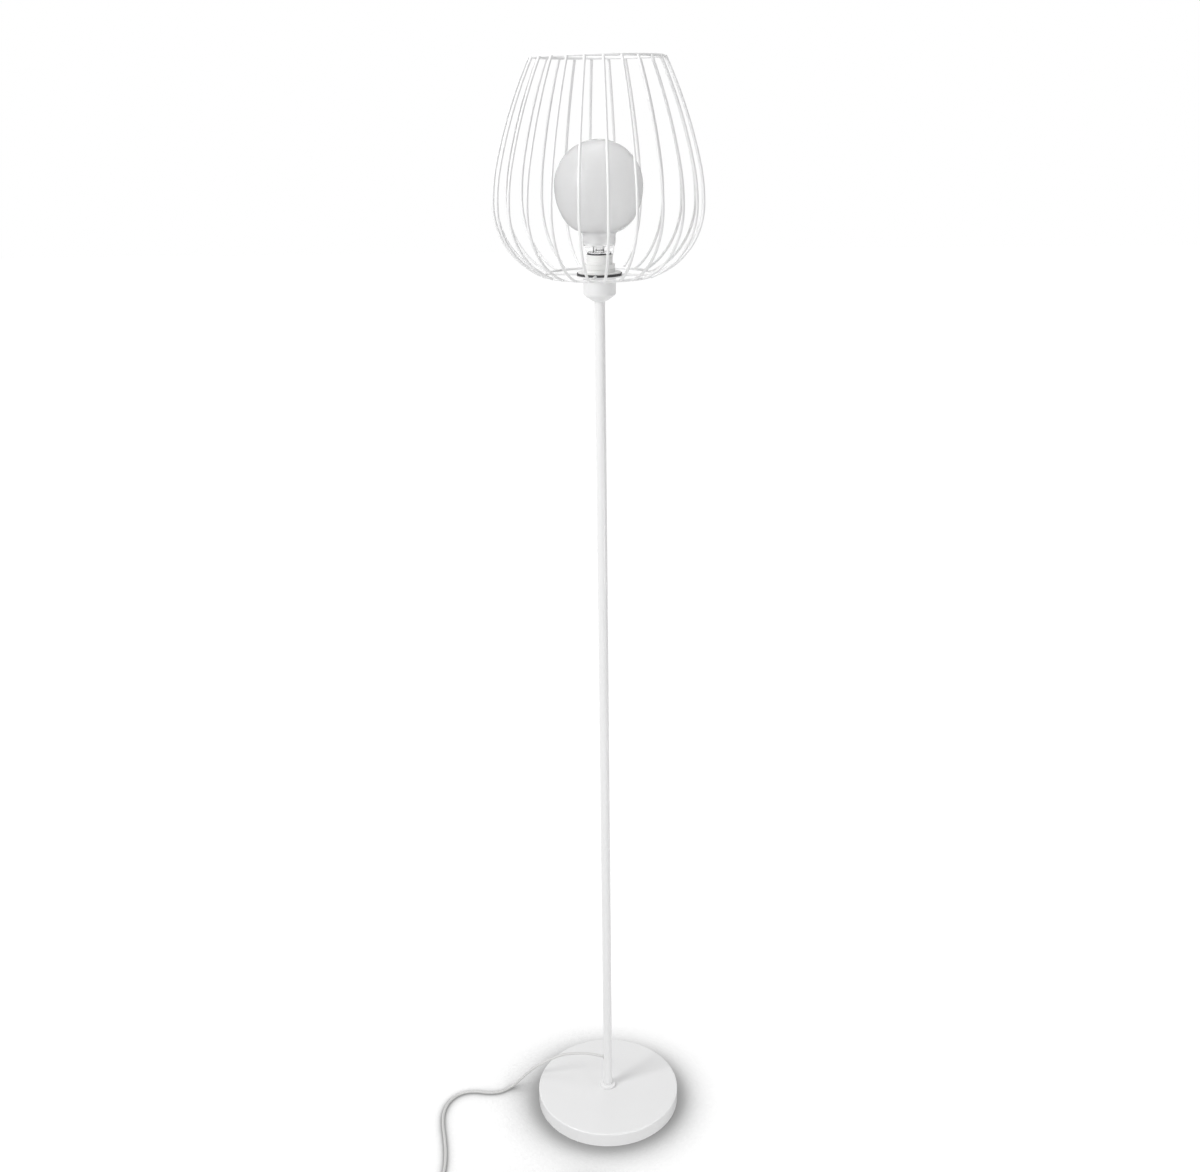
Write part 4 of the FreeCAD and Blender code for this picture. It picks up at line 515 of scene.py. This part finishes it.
glass = bpy.data.materials.new("etched_globe_glass")
glass.use_nodes = True
tree = glass.node_tree
etched = tree.nodes["Principled BSDF"]
where = tree.nodes.new("ShaderNodeTexCoord")
cloud = tree.nodes.new("ShaderNodeTexNoise")
cloud.inputs["Scale"].default_value = 14
cloud.inputs["Detail"].default_value = 4
tree.links.new(where.outputs["Object"], cloud.inputs["Vector"])
milk = tree.nodes.new("ShaderNodeMix")
milk.data_type = "RGBA"
milk.inputs["A"].default_value = (0.8, 0.8, 0.8, 1)
milk.inputs["B"].default_value = (0.76, 0.76, 0.765, 1)
tree.links.new(cloud.outputs["Fac"], milk.inputs["Factor"])
tree.links.new(milk.outputs["Result"], etched.inputs["Base Color"])
etched.inputs["Roughness"].default_value = 0.42
etched.inputs["Coat Weight"].default_value = 0.6
etched.inputs["Coat Roughness"].default_value = 0.08
etch_grain = tree.nodes.new("ShaderNodeTexNoise")
etch_grain.inputs["Scale"].default_value = 1600
tree.links.new(where.outputs["Object"], etch_grain.inputs["Vector"])
etch_bump = tree.nodes.new("ShaderNodeBump")
etch_bump.inputs["Strength"].default_value = 1
etch_bump.inputs["Distance"].default_value = 0.00002
tree.links.new(etch_grain.outputs["Fac"], etch_bump.inputs["Height"])
tree.links.new(etch_bump.outputs["Normal"], etched.inputs["Normal"])
through = tree.nodes.new("ShaderNodeBsdfGlass")
through.inputs["Color"].default_value = (0.95, 0.95, 0.95, 1)
through.inputs["Roughness"].default_value = 0.55
through.inputs["IOR"].default_value = 1.12
frost = tree.nodes.new("ShaderNodeMixShader")
frost.inputs["Fac"].default_value = 0.75
tree.links.new(etched.outputs[0], frost.inputs[1])
tree.links.new(through.outputs[0], frost.inputs[2])
clear = tree.nodes.new("ShaderNodeBsdfGlass")
clear.inputs["Roughness"].default_value = 0.02
clear.inputs["IOR"].default_value = 1.22
height = tree.nodes.new("ShaderNodeSeparateXYZ")
tree.links.new(where.outputs["Object"], height.inputs[0])
wander = tree.nodes.new("ShaderNodeMath")
wander.operation = "MULTIPLY_ADD"
wander.inputs[1].default_value = 0.005
tree.links.new(cloud.outputs["Fac"], wander.inputs[0])
tree.links.new(height.outputs["Z"], wander.inputs[2])
edge = tree.nodes.new("ShaderNodeMapRange")
edge.interpolation_type = "SMOOTHSTEP"
edge.inputs["From Min"].default_value = 1.506
edge.inputs["From Max"].default_value = 1.518
tree.links.new(wander.outputs[0], edge.inputs["Value"])
foot_or_globe = tree.nodes.new("ShaderNodeMixShader")
tree.links.new(edge.outputs["Result"], foot_or_globe.inputs["Fac"])
tree.links.new(clear.outputs[0], foot_or_globe.inputs[1])
tree.links.new(frost.outputs[0], foot_or_globe.inputs[2])
surface = next(n for n in tree.nodes if n.type == "OUTPUT_MATERIAL")
tree.links.new(foot_or_globe.outputs[0], surface.inputs["Surface"])
dress(glass, "bulb_glass")
cap_nickel = fine_surface("bulb_cap_metal", (0.72, 0.7, 0.66), 0.3, 700, 0.00001, 0.05, 80, 1.0)
dress(cap_nickel, "bulb_cap", "bulb_contact")
black_glass = fine_surface("black_insulator_glass", (0.02, 0.02, 0.022), 0.15, 300, 0.00002, 0.1, 50)
dress(black_glass, "bulb_insulator")
stem_glass = bpy.data.materials.new("stem_glass")
stem_glass.use_nodes = True
stem_shader = stem_glass.node_tree.nodes["Principled BSDF"]
stem_shader.inputs["Transmission Weight"].default_value = 1
stem_shader.inputs["IOR"].default_value = 1.25
stem_waves = stem_glass.node_tree.nodes.new("ShaderNodeTexNoise")
stem_waves.inputs["Scale"].default_value = 200
stem_place = stem_glass.node_tree.nodes.new("ShaderNodeTexCoord")
stem_glass.node_tree.links.new(stem_place.outputs["Object"], stem_waves.inputs["Vector"])
stem_bump = stem_glass.node_tree.nodes.new("ShaderNodeBump")
stem_bump.inputs["Distance"].default_value = 0.0001
stem_glass.node_tree.links.new(stem_waves.outputs["Fac"], stem_bump.inputs["Height"])
stem_glass.node_tree.links.new(stem_bump.outputs["Normal"], stem_shader.inputs["Normal"])
stem_shader.inputs["Roughness"].default_value = 0.05
dress(stem_glass, "bulb_stem")
# Painted shade: a near-black ring in the gap between the holder's mouth and the glass foot stands for the shade
# inside the mouth.
ring_round = 2 * np.pi * np.arange(72) / 72
bead_round = 2 * np.pi * np.arange(12) / 12
bead_out = 16.5 + 1.1 * np.cos(bead_round)
bead_up = 1496.92 + 1.0 * np.sin(bead_round)
bead_points = np.stack(
    [
        bead_out[None, :] * np.cos(ring_round)[:, None],
        bead_out[None, :] * np.sin(ring_round)[:, None],
        np.repeat(bead_up[None, :], 72, axis=0),
    ],
    axis=2,
).reshape(-1, 3)
column = np.arange(72)[:, None] * 12
next_column = (column + 12) % (72 * 12)
corner = np.arange(12)[None, :]
next_corner = (corner + 1) % 12
bead_quads = np.stack(
    [column + corner, next_column + corner, next_column + next_corner, column + next_corner], axis=2
).reshape(-1, 4)
mouth_shade_mesh = bpy.data.meshes.new("painted_mouth_shade_ring")
mouth_shade_mesh.from_pydata((bead_points / 1000).tolist(), [], bead_quads.tolist())
mouth_shade_mesh.polygons.foreach_set("use_smooth", [True] * len(mouth_shade_mesh.polygons))
mouth_shade_ring = bpy.data.objects.new("painted_mouth_shade_ring", mouth_shade_mesh)
scene.collection.objects.link(mouth_shade_ring)
mouth_shade_mesh.materials.append(fine_surface("painted_mouth_shade", (0.05, 0.05, 0.055), 0.7, 500, 0.00006, 0.15, 90))
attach(mouth_shade_ring, "bulb")
dark_wire = fine_surface("dark_wire", (0.1, 0.1, 0.105), 0.35, 900, 0.00001, 0.1, 90, 1.0)
dress(dark_wire, "bulb_posts", "bulb_filament")

# ---- foot switch ----
# A two-part housing of white moulded plastic with a large button on a spring. Soft sleeves hold the cord at
# both ends, and inside it a brass blade lies over two screw blocks. The spring shortens under the button.

switch_plastic = fine_surface("white_switch_plastic", (0.8, 0.8, 0.79), 0.4, 520, 0.00008, 0.02, 30)
dress(switch_plastic, "switch_base", "switch_cover")
button_plastic = fine_surface("button_plastic", (0.74, 0.74, 0.73), 0.3, 700, 0.00003, 0.02, 40)
dress(button_plastic, "switch_button")
soft_sleeve = fine_surface("soft_white_sleeve", (0.7, 0.7, 0.69), 0.55, 800, 0.00005, 0.03, 60)
tree = soft_sleeve.node_tree
ribs = tree.nodes.new("ShaderNodeTexWave")
ribs.wave_type = "BANDS"
ribs.bands_direction = "X"
ribs.inputs["Scale"].default_value = 87
tree.links.new(next(n for n in tree.nodes if n.type == "TEX_COORD").outputs["Object"], ribs.inputs["Vector"])
ribbing = tree.nodes.new("ShaderNodeBump")
ribbing.inputs["Strength"].default_value = 1
ribbing.inputs["Distance"].default_value = 0.0003
tree.links.new(ribs.outputs["Fac"], ribbing.inputs["Height"])
tree.links.new(next(n for n in tree.nodes if n.type == "BUMP").outputs["Normal"], ribbing.inputs["Normal"])
tree.links.new(ribbing.outputs["Normal"], tree.nodes["Principled BSDF"].inputs["Normal"])
dress(soft_sleeve, "switch_sleeves")
dress(brass, "switch_terminals", "contact_blade")
spring_steel = fine_surface("spring_steel", (0.5, 0.5, 0.52), 0.25, 800, 0.00001, 0.06, 90, 1.0)
coil_turn = np.linspace(0, 8 * math.pi, 145)
wire_turn = 2 * np.pi * np.arange(10) / 10
spring_axis = np.array([-180.0, -274.0, 8.65])
spring_line = np.stack(
    [4.05 * np.cos(coil_turn), 4.05 * np.sin(coil_turn), 10.38 * coil_turn / coil_turn[-1]], axis=1
)
spring_out = np.stack([np.cos(coil_turn), np.sin(coil_turn), 0 * coil_turn], axis=1)
spring_along = np.gradient(spring_line, axis=0)
spring_along /= np.linalg.norm(spring_along, axis=1, keepdims=True)
spring_over = np.cross(spring_along, spring_out)
spring_skin = (
    (spring_axis + spring_line)[:, None, :]
    + 0.45 * np.cos(wire_turn)[None, :, None] * spring_out[:, None, :]
    + 0.45 * np.sin(wire_turn)[None, :, None] * spring_over[:, None, :]
)
spring_row = np.arange(len(coil_turn) - 1)[:, None] * 10
spring_corner = np.arange(10)[None, :]
spring_next = (spring_corner + 1) % 10
spring_quads = np.stack(
    [spring_row + spring_corner, spring_row + spring_next, spring_row + 10 + spring_next, spring_row + 10 + spring_corner],
    axis=2,
).reshape(-1, 4)
spring_last = (len(coil_turn) - 1) * 10
spring_ends = [tuple(range(9, -1, -1)), tuple(range(spring_last, spring_last + 10))]
spring_mesh = bpy.data.meshes.new("switch_spring_wire")
spring_mesh.from_pydata(
    (spring_skin.reshape(-1, 3) / 1000).tolist(), [], spring_quads.tolist() + spring_ends
)
spring_mesh.polygons.foreach_set("use_smooth", [True] * len(spring_mesh.polygons))
spring_wire = bpy.data.objects.new("switch_spring_wire", spring_mesh)
scene.collection.objects.link(spring_wire)
spring_mesh.materials.append(spring_steel)
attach(spring_wire, "lamp")
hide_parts("switch_spring")
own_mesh(spring_wire)

# ---- plug ----
# A flat plug moulded onto the cord in white plastic, with a tapered relief, and two nickel pins with
# insulated roots.

dress(switch_plastic, "plug_body")
dress(soft_sleeve, "plug_relief")
nickel = fine_surface("nickel_plating", (0.75, 0.73, 0.69), 0.22, 700, 0.00001, 0.04, 80, 1.0)
dress(nickel, "plug_pins")
pin_insulation = fine_surface("pin_insulation", (0.72, 0.72, 0.71), 0.45, 900, 0.00002, 0.03, 60)
dress(pin_insulation, "pin_sleeves")
